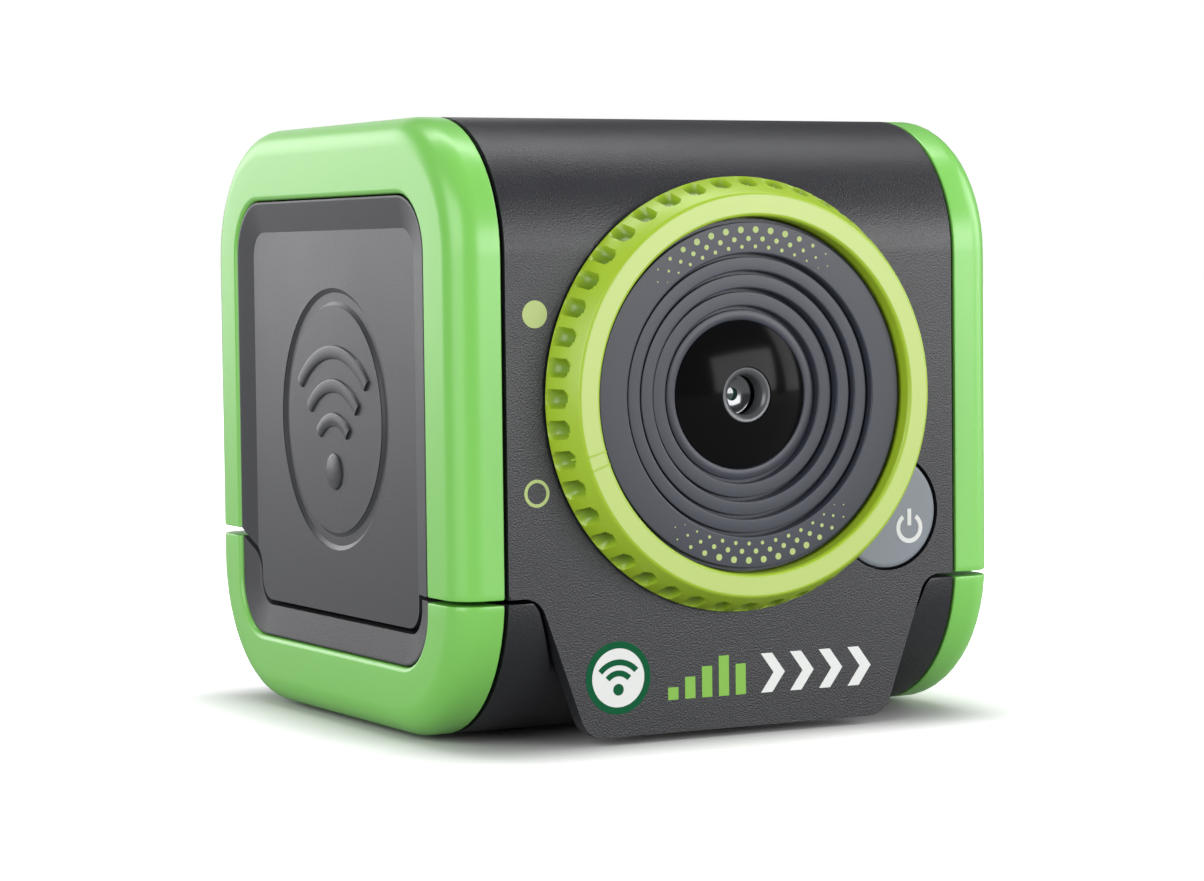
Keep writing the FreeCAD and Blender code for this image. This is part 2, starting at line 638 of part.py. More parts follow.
def lens_ball(radius, centre_depth):
    """A ball on the lens axis, its centre at a depth behind the ring's front."""
    ball = doc.addObject("Part::Sphere", "Ball")
    ball.setExpression("Radius", formula(radius))
    ball.setExpression("Placement.Base.y", formula(f"front_y - ring_proud + {centre_depth}"))
    ball.setExpression("Placement.Base.z", formula("lens_height"))
    return ball


def dome_window():
    """Thin convex window with a flange behind the bezel's lip and a hole for the lens trim."""
    centre = "(face_four + sqrt(dome_sphere^2 - bezel_mouth^2))"
    cap = cut(lens_ball("dome_sphere", centre), lens_ball("dome_sphere - dome_thick", centre))
    cap = inside(cap, lens_rod("bezel_mouth - 0.05", "0", "flange_back"))
    flange = cut(lens_rod("dome_flange", "lip_back", "flange_back"),
                 lens_rod("bezel_mouth - 1.2", "(lip_back - 1)", "(flange_back + 1)"))
    hole = lens_rod("trim_outer + 0.02", "0", "(flange_back + 1)")
    return keep(cut(fuse(cap, flange), hole), "dome_window")


dome_window()
keep(turned([("trim_inner", "trim_front"), ("trim_outer", "trim_front"),
             ("trim_outer", "trim_front + trim_length"), ("trim_inner", "trim_front + trim_length")]),
     "lens_trim_ring")

post_spots = [on_circle("post_place", 30 + 120 * number) for number in range(3)]


def shutter_guide():
    """Plate behind the leaves: slots keep the leaf pins straight, three posts reach the carrier."""
    disc = lens_rod("bezel_hub", "guide_front", "guide_back")
    posts = [lens_rod("post_radius", "guide_front", "(carrier_front + ring_proud)", x, rise)
             for x, rise in post_spots]
    slots = []
    for side in (-1, 1):
        ends = [f"lens_height + {side} * ({place})"
                for place in ("leaf_pin_place - leaf_travel - slot_half", "leaf_pin_place + slot_half")]
        slots.append(box(("0 - slot_half", "slot_half"),
                         ("ring_front + guide_front - 1", "ring_front + guide_back + 0.1"),
                         ends if side > 0 else ends[::-1]))
    bore = lens_rod("guide_bore", "(guide_front - 1)", "(guide_back + 0.1)")
    return keep(cut(fuse(disc, *posts), bore, *slots), "shutter_guide")


shutter_guide()


def shutter_leaf(side, front, name):
    """A thin blade with one pin that reaches through the guide's slot into the cam's spiral."""
    edge = f"lens_height + {side} * leaf_edge"
    end = f"lens_height + {side} * (leaf_edge + leaf_length)"
    blade = box(("0 - leaf_half", "leaf_half"),
                (f"ring_front + {front}", f"ring_front + {front} + leaf_thick"),
                (edge, end) if side > 0 else (end, edge))
    pin = lens_rod("leaf_pin_radius", f"({front} + leaf_thick / 2)", "(retainer_front - 0.1)",
                   rise=f"{side} * leaf_pin_place")
    return keep(fuse(blade, pin), name)


shutter_leaf(1, "leaf_front", "shutter_leaf_upper")
shutter_leaf(-1, "leaf_middle", "shutter_leaf_lower")

glass_centre = "(glass_front + glass_sphere)"
keep(inside(lens_ball("glass_sphere", glass_centre), lens_rod("glass_radius", "0", "(glass_back + 0.6)")),
     "lens_front_element")
keep(turned([
    ("glass_radius + 0.05", "glass_front + 0.95"), ("barrel_radius", "glass_front + 0.95"),
    ("barrel_radius", "barrel_end"), ("barrel_radius - barrel_wall - 1", "barrel_end"),
    ("barrel_radius - barrel_wall - 1", "glass_back + 0.65"), ("glass_radius + 0.05", "glass_back + 0.65")]),
    "lens_barrel")
holder_back = "camera_board_place"
barrel_back = "(barrel_end - ring_proud)"
keep(cut(
    box(("0 - holder_half", "holder_half"), (f"{barrel_back} - 4", holder_back),
        ("lens_height - holder_half", "lens_height + holder_half")),
    rod("y", "barrel_radius + fixing_clearance", y=f"{barrel_back} - 5", z="lens_height",
        to=f"{barrel_back} + 0.1"),
    box(("0 - holder_bore", "holder_bore"), (barrel_back, f"{holder_back} + 1"),
        ("lens_height - holder_bore", "lens_height + holder_bore")),
), "lens_holder")
keep(box(("0 - sensor_half", "sensor_half"), (f"{holder_back} - 1", holder_back),
         ("lens_height - sensor_half", "lens_height + sensor_half")),
     "image_sensor")

standoff_spots = [(f"{a} * standoff_place", f"lens_height + {b} * standoff_place")
                  for a in (-1, 1) for b in (-1, 1)]


def lens_carrier():
    """Bridge behind the ring: carries the bezel's posts in front and the camera board behind."""
    low, mid, top = "lens_height - boss_rise - 3.2", "lens_height + 2", "lens_height + boss_rise + 3.2"
    notch = "(button_board_side - 1)"
    points = [("0 - carrier_half", low), (notch, low), (notch, mid), ("carrier_half", mid),
              ("carrier_half", top), ("0 - carrier_half", top)]
    slab = plate("XZ_Plane", points, "0 - carrier_back", "0 - carrier_front")
    posts = [rod("y", "standoff_radius", x=x, y="carrier_front", z=z, to=holder_back)
             for x, z in standoff_spots]
    tools = [rod("y", "barrel_radius + 0.4", y="carrier_front - 1", z="lens_height", to="carrier_back + 1")]
    tools += [rod("y", "screw_radius + fixing_clearance", x=x, y="0", z=z, to="carrier_back + 1")
              for x, z in carrier_places]
    tools += [rod("y", "pilot_radius", x=x, y="carrier_back", z=z, to=f"{holder_back} + 1")
              for x, z in standoff_spots]
    return keep(cut(fuse(slab, *posts), *tools), "lens_carrier")


lens_carrier()


def board(name, across, place, rise, holes, radius):
    """A circuit board square to the lens axis, with screw holes."""
    blank = box(across, (place, f"{place} + board_thick"), rise)
    return keep(cut(blank, *[rod("y", radius, x=x, y=f"{place} - 1", z=z, to=f"{place} + board_thick + 1")
                             for x, z in holes]), name)


board("camera_board", ("0 - camera_board_half", "camera_board_half"), "camera_board_place",
      ("lens_height - camera_board_half", "lens_height + camera_board_half"), standoff_spots, "board_hole")
board("main_board", ("0 - main_board_half", "main_board_half"), "main_board_place",
      ("main_board_low", "main_board_top"), board_places, "screw_radius + fixing_clearance")
board("button_board", ("button_board_side", "inner_half - 0.5"), "switch_back",
      ("front_floor + wall + 0.4", "button_height + button_board_half + 2.5"),
      button_board_places, "board_hole")


def backward_screws(places, head_front, shaft_end, thread, head):
    """Screws whose heads face the front and whose shafts run backwards."""
    pieces = []
    for x, z in places:
        pieces.append(fuse(rod("y", head, x=x, y=f"{head_front} - head_thick", z=z, to=head_front),
                           rod("y", thread, x=x, y=head_front, z=z, to=shaft_end)))
    return pieces


def forward_screws(places, head_back, shaft_end, thread, head):
    """Screws whose heads face the back and whose shafts run forwards."""
    pieces = []
    for x, z in places:
        pieces.append(fuse(rod("y", head, x=x, y=head_back, z=z, to=f"{head_back} + head_thick"),
                           rod("y", thread, x=x, y=shaft_end, z=z, to=head_back)))
    return pieces


keep(fuse(*backward_screws(board_places, "main_board_place", "main_board_place + 8",
                           "screw_radius", "head_radius"),
          *forward_screws(standoff_spots, "(camera_board_place + board_thick)", "camera_board_place - 4",
                          "small_screw", "small_head"),
          *forward_screws(button_board_places, "(switch_back + board_thick)", "switch_back - 3",
                          "small_screw", "small_head")), "board_screws")
keep(fuse(*forward_screws(carrier_places, "carrier_back", "1.4", "screw_radius", "head_radius")),
     "carrier_screws")

# ---------------------------------------------------------------- electronics

chip_front = "(main_board_place - chip_thick)"
sink_back = f"({chip_front} - pad_thick)"
chip_height = "(lens_height + 8)"


def block_about(size, depth, x="0", height=chip_height):
    """A square block about a point on the main board."""
    return box((f"{x} - {size} / 2", f"{x} + {size} / 2"), depth,
               (f"{height} - {size} / 2", f"{height} + {size} / 2"))


keep(block_about("chip_size", (chip_front, "main_board_place")), "processor")
keep(block_about("chip_size", (sink_back, chip_front)), "thermal_pad")


def heat_sink():
    """Square heat sink with upright fins."""
    slab = block_about("sink_size", (f"{sink_back} - sink_thick", sink_back))
    grooves = []
    for number in range(4):
        left = f"0 - sink_size / 2 + fin_width + {number} * (sink_size - fin_width) / 4"
        grooves.append(box((left, f"{left} + (sink_size - fin_width) / 4 - fin_width"),
                           (f"{sink_back} - sink_thick - 1", f"{sink_back} - 1.6"),
                           (f"{chip_height} - sink_size", f"{chip_height} + sink_size")))
    return keep(cut(slab, *grooves), "heat_sink")


heat_sink()


def socket(x, width, tall, name):
    """A metal-shelled socket on the back of the main board, with its contact tongue."""
    back = "body_depth - socket_sunk"
    low, high = f"socket_height - {tall} / 2", f"socket_height + {tall} / 2"
    shell = box((f"{x} - {width} / 2", f"{x} + {width} / 2"), ("main_board_place + board_thick", back),
                (low, high))
    mouth = box((f"{x} - {width} / 2 + socket_wall", f"{x} + {width} / 2 - socket_wall"),
                (f"{back} - socket_depth", f"{back} + 1"), (f"{low} + socket_wall", f"{high} - socket_wall"))
    blade = box((f"{x} - {width} / 2 + 1.8", f"{x} + {width} / 2 - 1.8"),
                (f"{back} - socket_depth - 0.5", f"{back} - 1"),
                ("socket_height - tongue_thick / 2", "socket_height + tongue_thick / 2"))
    return keep(fuse(cut(shell, mouth), blade), name)


socket("hdmi_x", "hdmi_width", "hdmi_tall", "hdmi_socket")
socket("usb_x", "usb_width", "usb_tall", "usb_c_socket")


def flex_cable():
    """Flat cable from the camera board to the main board, with two gentle bends."""
    start, end = "camera_board_place + board_thick", "main_board_place"
    low, high = "(lens_height - 11)", "(lens_height - 8)"
    route = [(start, low), ("camera_board_place + 16", low), ("main_board_place - 16", high), (end, high)]
    upper = [(depth, f"{height} + flex_thick") for depth, height in reversed(route)]
    strip = plate("YZ_Plane", route + upper, "0 - flex_width / 2", "flex_width / 2")
    return keep(strip, "flex_cable")


flex_cable()

# ---------------------------------------------------------------- power button and its switch


def power_button():
    """Round cap, nearly flush, with a stem for the switch and two lugs behind the wall."""
    cap = rod("y", "button_radius", x="button_x", y="button_sunk", z="button_height", to="wall")
    stem = rod("y", "stem_radius", x="button_x", y="wall - 0.5", z="button_height", to="stem_back")
    lug = ("wall + 0.1", "wall + 0.1 + lug_thick")
    beside = box(("button_x", "button_x + lug_end"), lug,
                 ("button_height - lug_half", "button_height + lug_half"))
    above = box(("button_x - lug_half", "button_x + lug_half"), lug,
                ("button_height", "button_height + lug_end"))
    return keep(fuse(cap, stem, beside, above), "power_button")


power_button()
keep(rod("y", "plunger_radius", x="button_x", y="stem_back + 0.05", z="button_height",
         to="stem_back + 0.05 + plunger_length + 0.9"), "switch_plunger")
keep(cut(
    box(("button_x - switch_size / 2", "button_x + switch_size / 2"), ("switch_front", "switch_back"),
        ("button_height - switch_size / 2", "button_height + switch_size / 2")),
    rod("y", "plunger_radius + running_clearance", x="button_x", y="switch_front - 1", z="button_height",
        to="stem_back + plunger_length + 0.9 + button_travel + 0.3")), "switch_body")

# ---------------------------------------------------------------- hinge and base

keep(fuse(*[
    rod("x", "pin_radius", x=low, y="body_depth", z="hinge_height", to=high)
    for low, high in (
        ("inner_half - hinge_inset - 3 * knuckle_length - 2 * knuckle_gap + 1",
         "inner_half - hinge_inset - 1"),
        ("1 + hinge_inset - inner_half",
         "0 - inner_half + hinge_inset + 3 * knuckle_length + 2 * knuckle_gap - 1"),
    )]), "hinge_pins")

base_posts = [(f"{side} * base_boss_half", depth) for side in (-1, 1)
              for depth in ("base_boss_y", "body_depth - base_boss_y + 3")]
foot_places = [(f"{side} * foot_x", depth) for side in (-1, 1) for depth in ("foot_y", "body_depth - foot_y")]


def base_shell():
    """Open tray under the body: notched for the apron, the hinge barrels and the feet."""
    region = base_region
    space = box(everywhere, ("0", "body_depth"), ("0", "body_height"))
    shell = cut(inside(core, region), inside(hollow, space))
    backing = box(("0 - apron_top_half - 3", "apron_top_half + 3"), ("wall", "2 * wall + apron_gap"),
                  ("foot_height", "split_front"))
    posts = [rod("z", "case_boss_radius", x=x, y=y, z="foot_height", to="base_cover_top - cover_thick")
             for x, y in base_posts]
    barrels = [knuckle(side, number, "hinge_radius") for side in (-1, 1) for number in (0, 2)]
    solid = fuse(shell, inside(core, fuse(inside(backing, region), *posts)), *barrels)
    tools = [knuckle(side, 1, "hinge_radius + moving_gap", "knuckle_gap") for side in (-1, 1)]
    tools += [knuckle(side, number, "pin_radius + running_clearance", "1")
              for side in (-1, 1) for number in (0, 2)]
    tools.append(apron("apron_gap", "wall + apron_gap"))
    tools += [rod("z", "screw_radius + fixing_clearance", x=x, y=y, z="floor_inside + 1",
                  to="base_cover_top + 1") for x, y in base_posts]
    tools += [rod("z", "foot_radius + fixing_clearance", x=x, y=y, z="0", to="foot_height + foot_sunk")
              for x, y in foot_places]
    return keep(cut(solid, *tools), "base_shell")


base_shell()
cover_low = "(base_cover_top - cover_thick)"
keep(cut(
    box(("0 - inner_half + 0.2", "inner_half - 0.2"),
        ("2 * wall + apron_gap + 0.2", "rear_inner - cover_margin"),
        (cover_low, "base_cover_top")),
    *[rod("z", "screw_radius + fixing_clearance", x=x, y=y, z=f"{cover_low} - 1", to="base_cover_top + 1")
      for x, y in base_posts],
    *[rod("z", "head_radius + 0.2", x=x, y=y, z="base_cover_top - head_thick", to="base_cover_top + 1")
      for x, y in base_posts],
    box(("0 - inner_half + pad_inset", "inner_half - pad_inset"), ("pad_inset", "parting_depth - pad_inset"),
        ("base_cover_top - pad_proud", "base_cover_top + 1"))), "base_cover")
keep(box(("0 - inner_half + pad_inset + 0.2", "inner_half - pad_inset - 0.2"),
         ("pad_inset + 0.2", "parting_depth - pad_inset - 0.2"),
         ("base_cover_top - pad_proud", "base_cover_top + pad_proud")), "base_grip_pad")
keep(fuse(*[
    fuse(rod("z", "head_radius", x=x, y=y, z="base_cover_top - head_thick", to="base_cover_top - 0.1"),
         rod("z", "screw_radius", x=x, y=y, z="floor_inside + 2", to="base_cover_top - head_thick"))
    for x, y in base_posts]), "base_screws")
keep(fuse(*[rod("z", "foot_radius", x=x, y=y, z="0", to="foot_height + foot_sunk") for x, y in foot_places]),
     "base_feet")


def base_liner(side, name):
    """Textured filler in the base frame's opening, cut away round the side panel's tongue."""
    front, rear = "frame_front + panel_gap", "opening_back - panel_gap"
    tongue_front = f"({front} + panel_tongue_inset - moving_gap)"
    tongue_rear = f"({rear} - panel_tongue_rear + moving_gap)"
    ledge = "panel_tongue_low - moving_gap"
    points = [
        (front, "frame_low + panel_gap"), (rear, "frame_low + panel_gap"), (rear, "split_rear"),
        (tongue_rear, "split_rear - panel_slant"), (tongue_rear, ledge), (tongue_front, ledge),
        (tongue_front, "split_front"), (front, "split_front"),
    ]
    body = plate("YZ_Plane", points, *panel_limits(side, "core_half", "panel_face - 0.2"))
    low_corners = [(front, "frame_low + panel_gap"), (rear, "frame_low + panel_gap")]
    soften(body, "opening_radius - panel_gap", along("x", low_corners))
    return keep(body, name)


base_liner(-1, "base_left_liner")
base_liner(1, "base_right_liner")

# ---------------------------------------------------------------- check and write

doc.recompute()
for item in doc.Objects:
    if "Invalid" in item.State or "Error" in item.State:
        raise RuntimeError(f"{item.Name} ({item.Label}) failed: {item.State}")
for solid in sub_parts:
    if solid.Shape.isNull() or not solid.Shape.isValid() or not solid.Shape.Solids:
        raise RuntimeError(f"{solid.Label} has no valid solid")

os.makedirs("parts", exist_ok=True)
for solid in sub_parts:
    solid.Shape.exportStep(f"parts/{solid.Label}.step")
    reach = solid.Shape.BoundBox
    print(f"{solid.Label}: {len(solid.Shape.Solids)} solid(s), {solid.Shape.Volume:.1f} mm3, "
          f"x {reach.XMin:.2f}..{reach.XMax:.2f} y {reach.YMin:.2f}..{reach.YMax:.2f} "
          f"z {reach.ZMin:.2f}..{reach.ZMax:.2f}")
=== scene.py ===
import json
import math

import bmesh
import bpy
from mathutils import Matrix, Vector


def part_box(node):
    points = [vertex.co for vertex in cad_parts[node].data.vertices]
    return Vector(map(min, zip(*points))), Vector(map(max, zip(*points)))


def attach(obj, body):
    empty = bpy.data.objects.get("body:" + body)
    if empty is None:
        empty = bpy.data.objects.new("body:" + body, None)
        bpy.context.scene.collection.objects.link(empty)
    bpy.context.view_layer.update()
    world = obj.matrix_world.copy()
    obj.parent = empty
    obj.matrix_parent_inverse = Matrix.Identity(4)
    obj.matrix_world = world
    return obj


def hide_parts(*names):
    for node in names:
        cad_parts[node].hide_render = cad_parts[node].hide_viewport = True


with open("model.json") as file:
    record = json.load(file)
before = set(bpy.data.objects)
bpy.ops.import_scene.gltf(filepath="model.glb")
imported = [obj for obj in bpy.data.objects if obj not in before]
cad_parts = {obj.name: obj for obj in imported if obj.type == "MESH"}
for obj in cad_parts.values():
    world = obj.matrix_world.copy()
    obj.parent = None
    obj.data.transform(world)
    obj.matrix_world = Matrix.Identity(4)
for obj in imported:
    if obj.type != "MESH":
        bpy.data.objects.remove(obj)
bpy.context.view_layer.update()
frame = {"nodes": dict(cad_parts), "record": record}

# ------------------------------------------------------------------ camera
# A long lens a little to the left of the lens axis and just above the middle of the toy,
# so that the front, the left side and a sliver of the roof show.
MM = 0.001
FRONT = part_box("front_housing")[0][1]
STANCE = Vector((-0.222, FRONT - 0.378, 0.0612))
YAW, PITCH, ROLL = (math.radians(angle) for angle in (28.15, 2.99, -0.66))
ahead = Vector((math.sin(YAW) * math.cos(PITCH), math.cos(YAW) * math.cos(PITCH), -math.sin(PITCH)))
right = Vector((math.cos(YAW), -math.sin(YAW), 0))
up = right.cross(ahead)
tilted_right = math.cos(ROLL) * right + math.sin(ROLL) * up
tilted_up = math.cos(ROLL) * up - math.sin(ROLL) * right

camera_data = bpy.data.cameras.new("camera")
camera_data.lens = 102.0
camera_data.sensor_width = 36.0
camera_data.clip_start = 0.01
camera = bpy.data.objects.new("camera", camera_data)
turn = Matrix((tilted_right, tilted_up, -ahead)).transposed().to_4x4()
camera.matrix_world = Matrix.Translation(STANCE) @ turn
bpy.context.scene.collection.objects.link(camera)
bpy.context.scene.camera = camera

# ------------------------------------------------------------------ floor and studio light
# White paper and large soft boxes: one at the back left that the side panel mirrors, one at the
# front right for the lens wall, one overhead for the roof edge, and fills at the sides and back.
# The paper's colour is darkened close round the toy as a painted contact shadow, and further out the paper
# glows white to the camera only, so it fades from painted shadow to plain white.
bpy.context.scene.view_settings.view_transform = "Standard"


def new_material(name):
    """A material with a Principled shader, and its node tree's main pieces."""
    material = bpy.data.materials.new(name)
    material.use_nodes = True
    tree = material.node_tree
    return material, tree, tree.nodes["Principled BSDF"]


PAPER, PAPER_BOUNCE = (0.90, 0.92), 0.45
# Painted shadow: between these distances from the toy's middle the paper's colour darkens towards the toy.
PAINTED_SHADOW_FROM, PAINTED_SHADOW_TO, PAINTED_SHADOW_DARKEST = 0.027, 0.046, 0.38
WHITE_FROM, WHITE_TO = 0.037, 0.064
floor_material, floor_tree, floor_shader = new_material("floor_paper")
floor_shader.inputs["Roughness"].default_value = 0.9
floor_shader.inputs["Specular IOR Level"].default_value = 0.1
floor_shader.inputs["Emission Color"].default_value = (1, 1, 1, 1)
floor_noise = floor_tree.nodes.new("ShaderNodeTexNoise")
floor_noise.inputs["Scale"].default_value = 40
floor_ramp = floor_tree.nodes.new("ShaderNodeValToRGB")
for stop, grey in zip(floor_ramp.color_ramp.elements, PAPER):
    stop.color = (grey, grey, grey, 1)
floor_tree.links.new(floor_noise.outputs["Fac"], floor_ramp.inputs["Fac"])
floor_place = floor_tree.nodes.new("ShaderNodeTexCoord")
floor_size = floor_tree.nodes.new("ShaderNodeVectorMath")
floor_size.operation = "ABSOLUTE"
floor_parts = floor_tree.nodes.new("ShaderNodeSeparateXYZ")
floor_reach = floor_tree.nodes.new("ShaderNodeMath")
floor_reach.operation = "SMOOTH_MAX"
floor_reach.inputs[2].default_value = 0.02
floor_tree.links.new(floor_place.outputs["Object"], floor_size.inputs[0])
floor_tree.links.new(floor_size.outputs["Vector"], floor_parts.inputs[0])
floor_tree.links.new(floor_parts.outputs["X"], floor_reach.inputs[0])
floor_tree.links.new(floor_parts.outputs["Y"], floor_reach.inputs[1])


def fade(start, end, low, high):
    """A value that eases from low to high between two distances from the toy's middle."""
    ease = floor_tree.nodes.new("ShaderNodeMapRange")
    ease.interpolation_type = "SMOOTHSTEP"
    for socket, value in zip(("From Min", "From Max", "To Min", "To Max"), (start, end, low, high)):
        ease.inputs[socket].default_value = value
    floor_tree.links.new(floor_reach.outputs[0], ease.inputs["Value"])
    return ease


# The paper's colour is scaled down close round the toy: a painted contact shadow.
floor_painted_shadow = floor_tree.nodes.new("ShaderNodeVectorMath")
floor_painted_shadow.operation = "SCALE"
floor_tree.links.new(floor_ramp.outputs["Color"], floor_painted_shadow.inputs[0])
floor_tree.links.new(fade(PAINTED_SHADOW_FROM, PAINTED_SHADOW_TO, PAINTED_SHADOW_DARKEST, 1.0).outputs["Result"],
                     floor_painted_shadow.inputs["Scale"])
floor_seen = floor_tree.nodes.new("ShaderNodeLightPath")
floor_tone = floor_tree.nodes.new("ShaderNodeMix")
floor_tone.data_type = "RGBA"
floor_tone.inputs["A"].default_value = (PAPER_BOUNCE, PAPER_BOUNCE, PAPER_BOUNCE, 1)
floor_tree.links.new(floor_seen.outputs["Is Camera Ray"], floor_tone.inputs["Factor"])
floor_tree.links.new(floor_painted_shadow.outputs["Vector"], floor_tone.inputs["B"])
floor_tree.links.new(floor_tone.outputs["Result"], floor_shader.inputs["Base Color"])
# Further out the paper glows white, seen by the camera only.
floor_lift = floor_tree.nodes.new("ShaderNodeMath")
floor_lift.operation = "MULTIPLY"
floor_tree.links.new(fade(WHITE_FROM, WHITE_TO, 0.0, 1.0).outputs["Result"], floor_lift.inputs[0])
floor_tree.links.new(floor_seen.outputs["Is Camera Ray"], floor_lift.inputs[1])
floor_tree.links.new(floor_lift.outputs[0], floor_shader.inputs["Emission Strength"])
floor_form = bmesh.new()
bmesh.ops.create_grid(floor_form, x_segments=1, y_segments=1, size=6.0)
floor_mesh = bpy.data.meshes.new("floor")
floor_form.to_mesh(floor_mesh)
floor_form.free()
floor_mesh.materials.append(floor_material)
floor = bpy.data.objects.new("floor", floor_mesh)
bpy.context.scene.collection.objects.link(floor)


def soft_box(name, place, aim, width, height, power):
    """A rectangular area light, turned to face a point."""
    light = bpy.data.lights.new(name, "AREA")
    light.shape = "RECTANGLE"
    light.size, light.size_y, light.energy = width, height, power
    lamp = bpy.data.objects.new(name, light)
    lamp.location = place
    lamp.rotation_euler = (Vector(aim) - Vector(place)).to_track_quat("-Z", "Y").to_euler()
    bpy.context.scene.collection.objects.link(lamp)


MIDDLE = (0, 0, 0.04)
soft_box("left_box", (-1.00, -0.40, 0.40), MIDDLE, 0.95, 0.8, 10.0)
soft_box("back_left_box", (-0.44, 1.07, 0.30), MIDDLE, 0.66, 0.6, 3.0)
soft_box("front_right_box", (0.50, -0.90, 0.24), MIDDLE, 0.85, 0.40, 7.0)
soft_box("roof_strip", (0.10, 0.22, 0.85), MIDDLE, 1.0, 0.12, 4.0)
soft_box("back_box", (0.0, 1.30, 0.45), MIDDLE, 1.4, 0.6, 2.2)
soft_box("right_box", (0.95, -0.25, 0.40), MIDDLE, 0.6, 0.8, 5.5)

world = bpy.data.worlds.new("studio")
world.use_nodes = True
sky = world.node_tree.nodes["Background"]
seen = world.node_tree.nodes.new("ShaderNodeLightPath")
tone = world.node_tree.nodes.new("ShaderNodeMix")
tone.data_type = "RGBA"
tone.inputs["A"].default_value = (0.16, 0.16, 0.17, 1)
tone.inputs["B"].default_value = (1.0, 1.0, 1.0, 1)
world.node_tree.links.new(seen.outputs["Is Camera Ray"], tone.inputs["Factor"])
world.node_tree.links.new(tone.outputs["Result"], sky.inputs["Color"])
bpy.context.scene.world = world

# ------------------------------------------------------------------ plastics and other finishes
# Every moulding shares one surface recipe: a fine spark-eroded grain, faint mottling of the
# colour and uneven gloss.  The grain's size and depth make it read as matt, satin or polished.
surface = bpy.data.node_groups.new("moulded_surface", "ShaderNodeTree")
for label, kind, default in (
    ("Colour", "NodeSocketColor", (0.5, 0.5, 0.5, 1)),
    ("Roughness", "NodeSocketFloat", 0.5),
    ("Grain Scale", "NodeSocketFloat", 5000.0),
    ("Grain Depth", "NodeSocketFloat", 0.00001),
    ("Mottle", "NodeSocketFloat", 0.05),
):
    surface.interface.new_socket(label, in_out="INPUT", socket_type=kind).default_value = default
for label, kind in (("Colour", "NodeSocketColor"), ("Roughness", "NodeSocketFloat"),
                    ("Normal", "NodeSocketVector")):
    surface.interface.new_socket(label, in_out="OUTPUT", socket_type=kind)


def link(tree, source, socket, target, goal):
    """Join two nodes' sockets by name."""
    tree.links.new(source.outputs[socket], target.inputs[goal])


enter = surface.nodes.new("NodeGroupInput")
leave = surface.nodes.new("NodeGroupOutput")
where = surface.nodes.new("ShaderNodeTexCoord")
grain = surface.nodes.new("ShaderNodeTexNoise")
grain.inputs["Detail"].default_value = 2.0
cloud = surface.nodes.new("ShaderNodeTexNoise")
cloud.inputs["Scale"].default_value = 55.0
cloud.inputs["Detail"].default_value = 4.0
relief = surface.nodes.new("ShaderNodeBump")
link(surface, where, "Object", grain, "Vector")
link(surface, where, "Object", cloud, "Vector")
link(surface, enter, "Grain Scale", grain, "Scale")
link(surface, grain, "Fac", relief, "Height")
link(surface, enter, "Grain Depth", relief, "Distance")
link(surface, relief, "Normal", leave, "Normal")
swing = surface.nodes.new("ShaderNodeMath")
swing.operation = "SUBTRACT"
swing.inputs[1].default_value = 0.5
link(surface, cloud, "Fac", swing, 0)
share = surface.nodes.new("ShaderNodeMath")
share.operation = "MULTIPLY"
surface.links.new(swing.outputs[0], share.inputs[0])
surface.links.new(enter.outputs["Mottle"], share.inputs[1])
brightness = surface.nodes.new("ShaderNodeMath")
brightness.operation = "ADD"
brightness.inputs[1].default_value = 1.0
surface.links.new(share.outputs[0], brightness.inputs[0])
tint = surface.nodes.new("ShaderNodeVectorMath")
tint.operation = "SCALE"
surface.links.new(enter.outputs["Colour"], tint.inputs[0])
surface.links.new(brightness.outputs[0], tint.inputs["Scale"])
surface.links.new(tint.outputs["Vector"], leave.inputs["Colour"])
gloss = surface.nodes.new("ShaderNodeMath")
gloss.operation = "MULTIPLY_ADD"
surface.links.new(share.outputs[0], gloss.inputs[0])
gloss.inputs[1].default_value = 1.0
surface.links.new(enter.outputs["Roughness"], gloss.inputs[2])
surface.links.new(gloss.outputs[0], leave.inputs["Roughness"])


def moulding(name, colour, roughness, grain_mm=0.2, depth_mm=0.006, mottle=0.08, **sockets):
    """A moulded or coated finish; extra Principled sockets are set straight on the shader."""
    material, tree, shader = new_material(name)
    group = tree.nodes.new("ShaderNodeGroup")
    group.node_tree = surface
    group.inputs["Colour"].default_value = (*colour, 1)
    group.inputs["Roughness"].default_value = roughness
    group.inputs["Grain Scale"].default_value = 1 / (grain_mm * MM)
    group.inputs["Grain Depth"].default_value = depth_mm * MM
    group.inputs["Mottle"].default_value = mottle
    link(tree, group, "Colour", shader, "Base Color")
    link(tree, group, "Roughness", shader, "Roughness")
    link(tree, group, "Normal", shader, "Normal")
    for socket, value in sockets.items():
        shader.inputs[socket.replace("_", " ")].default_value = value
    return material


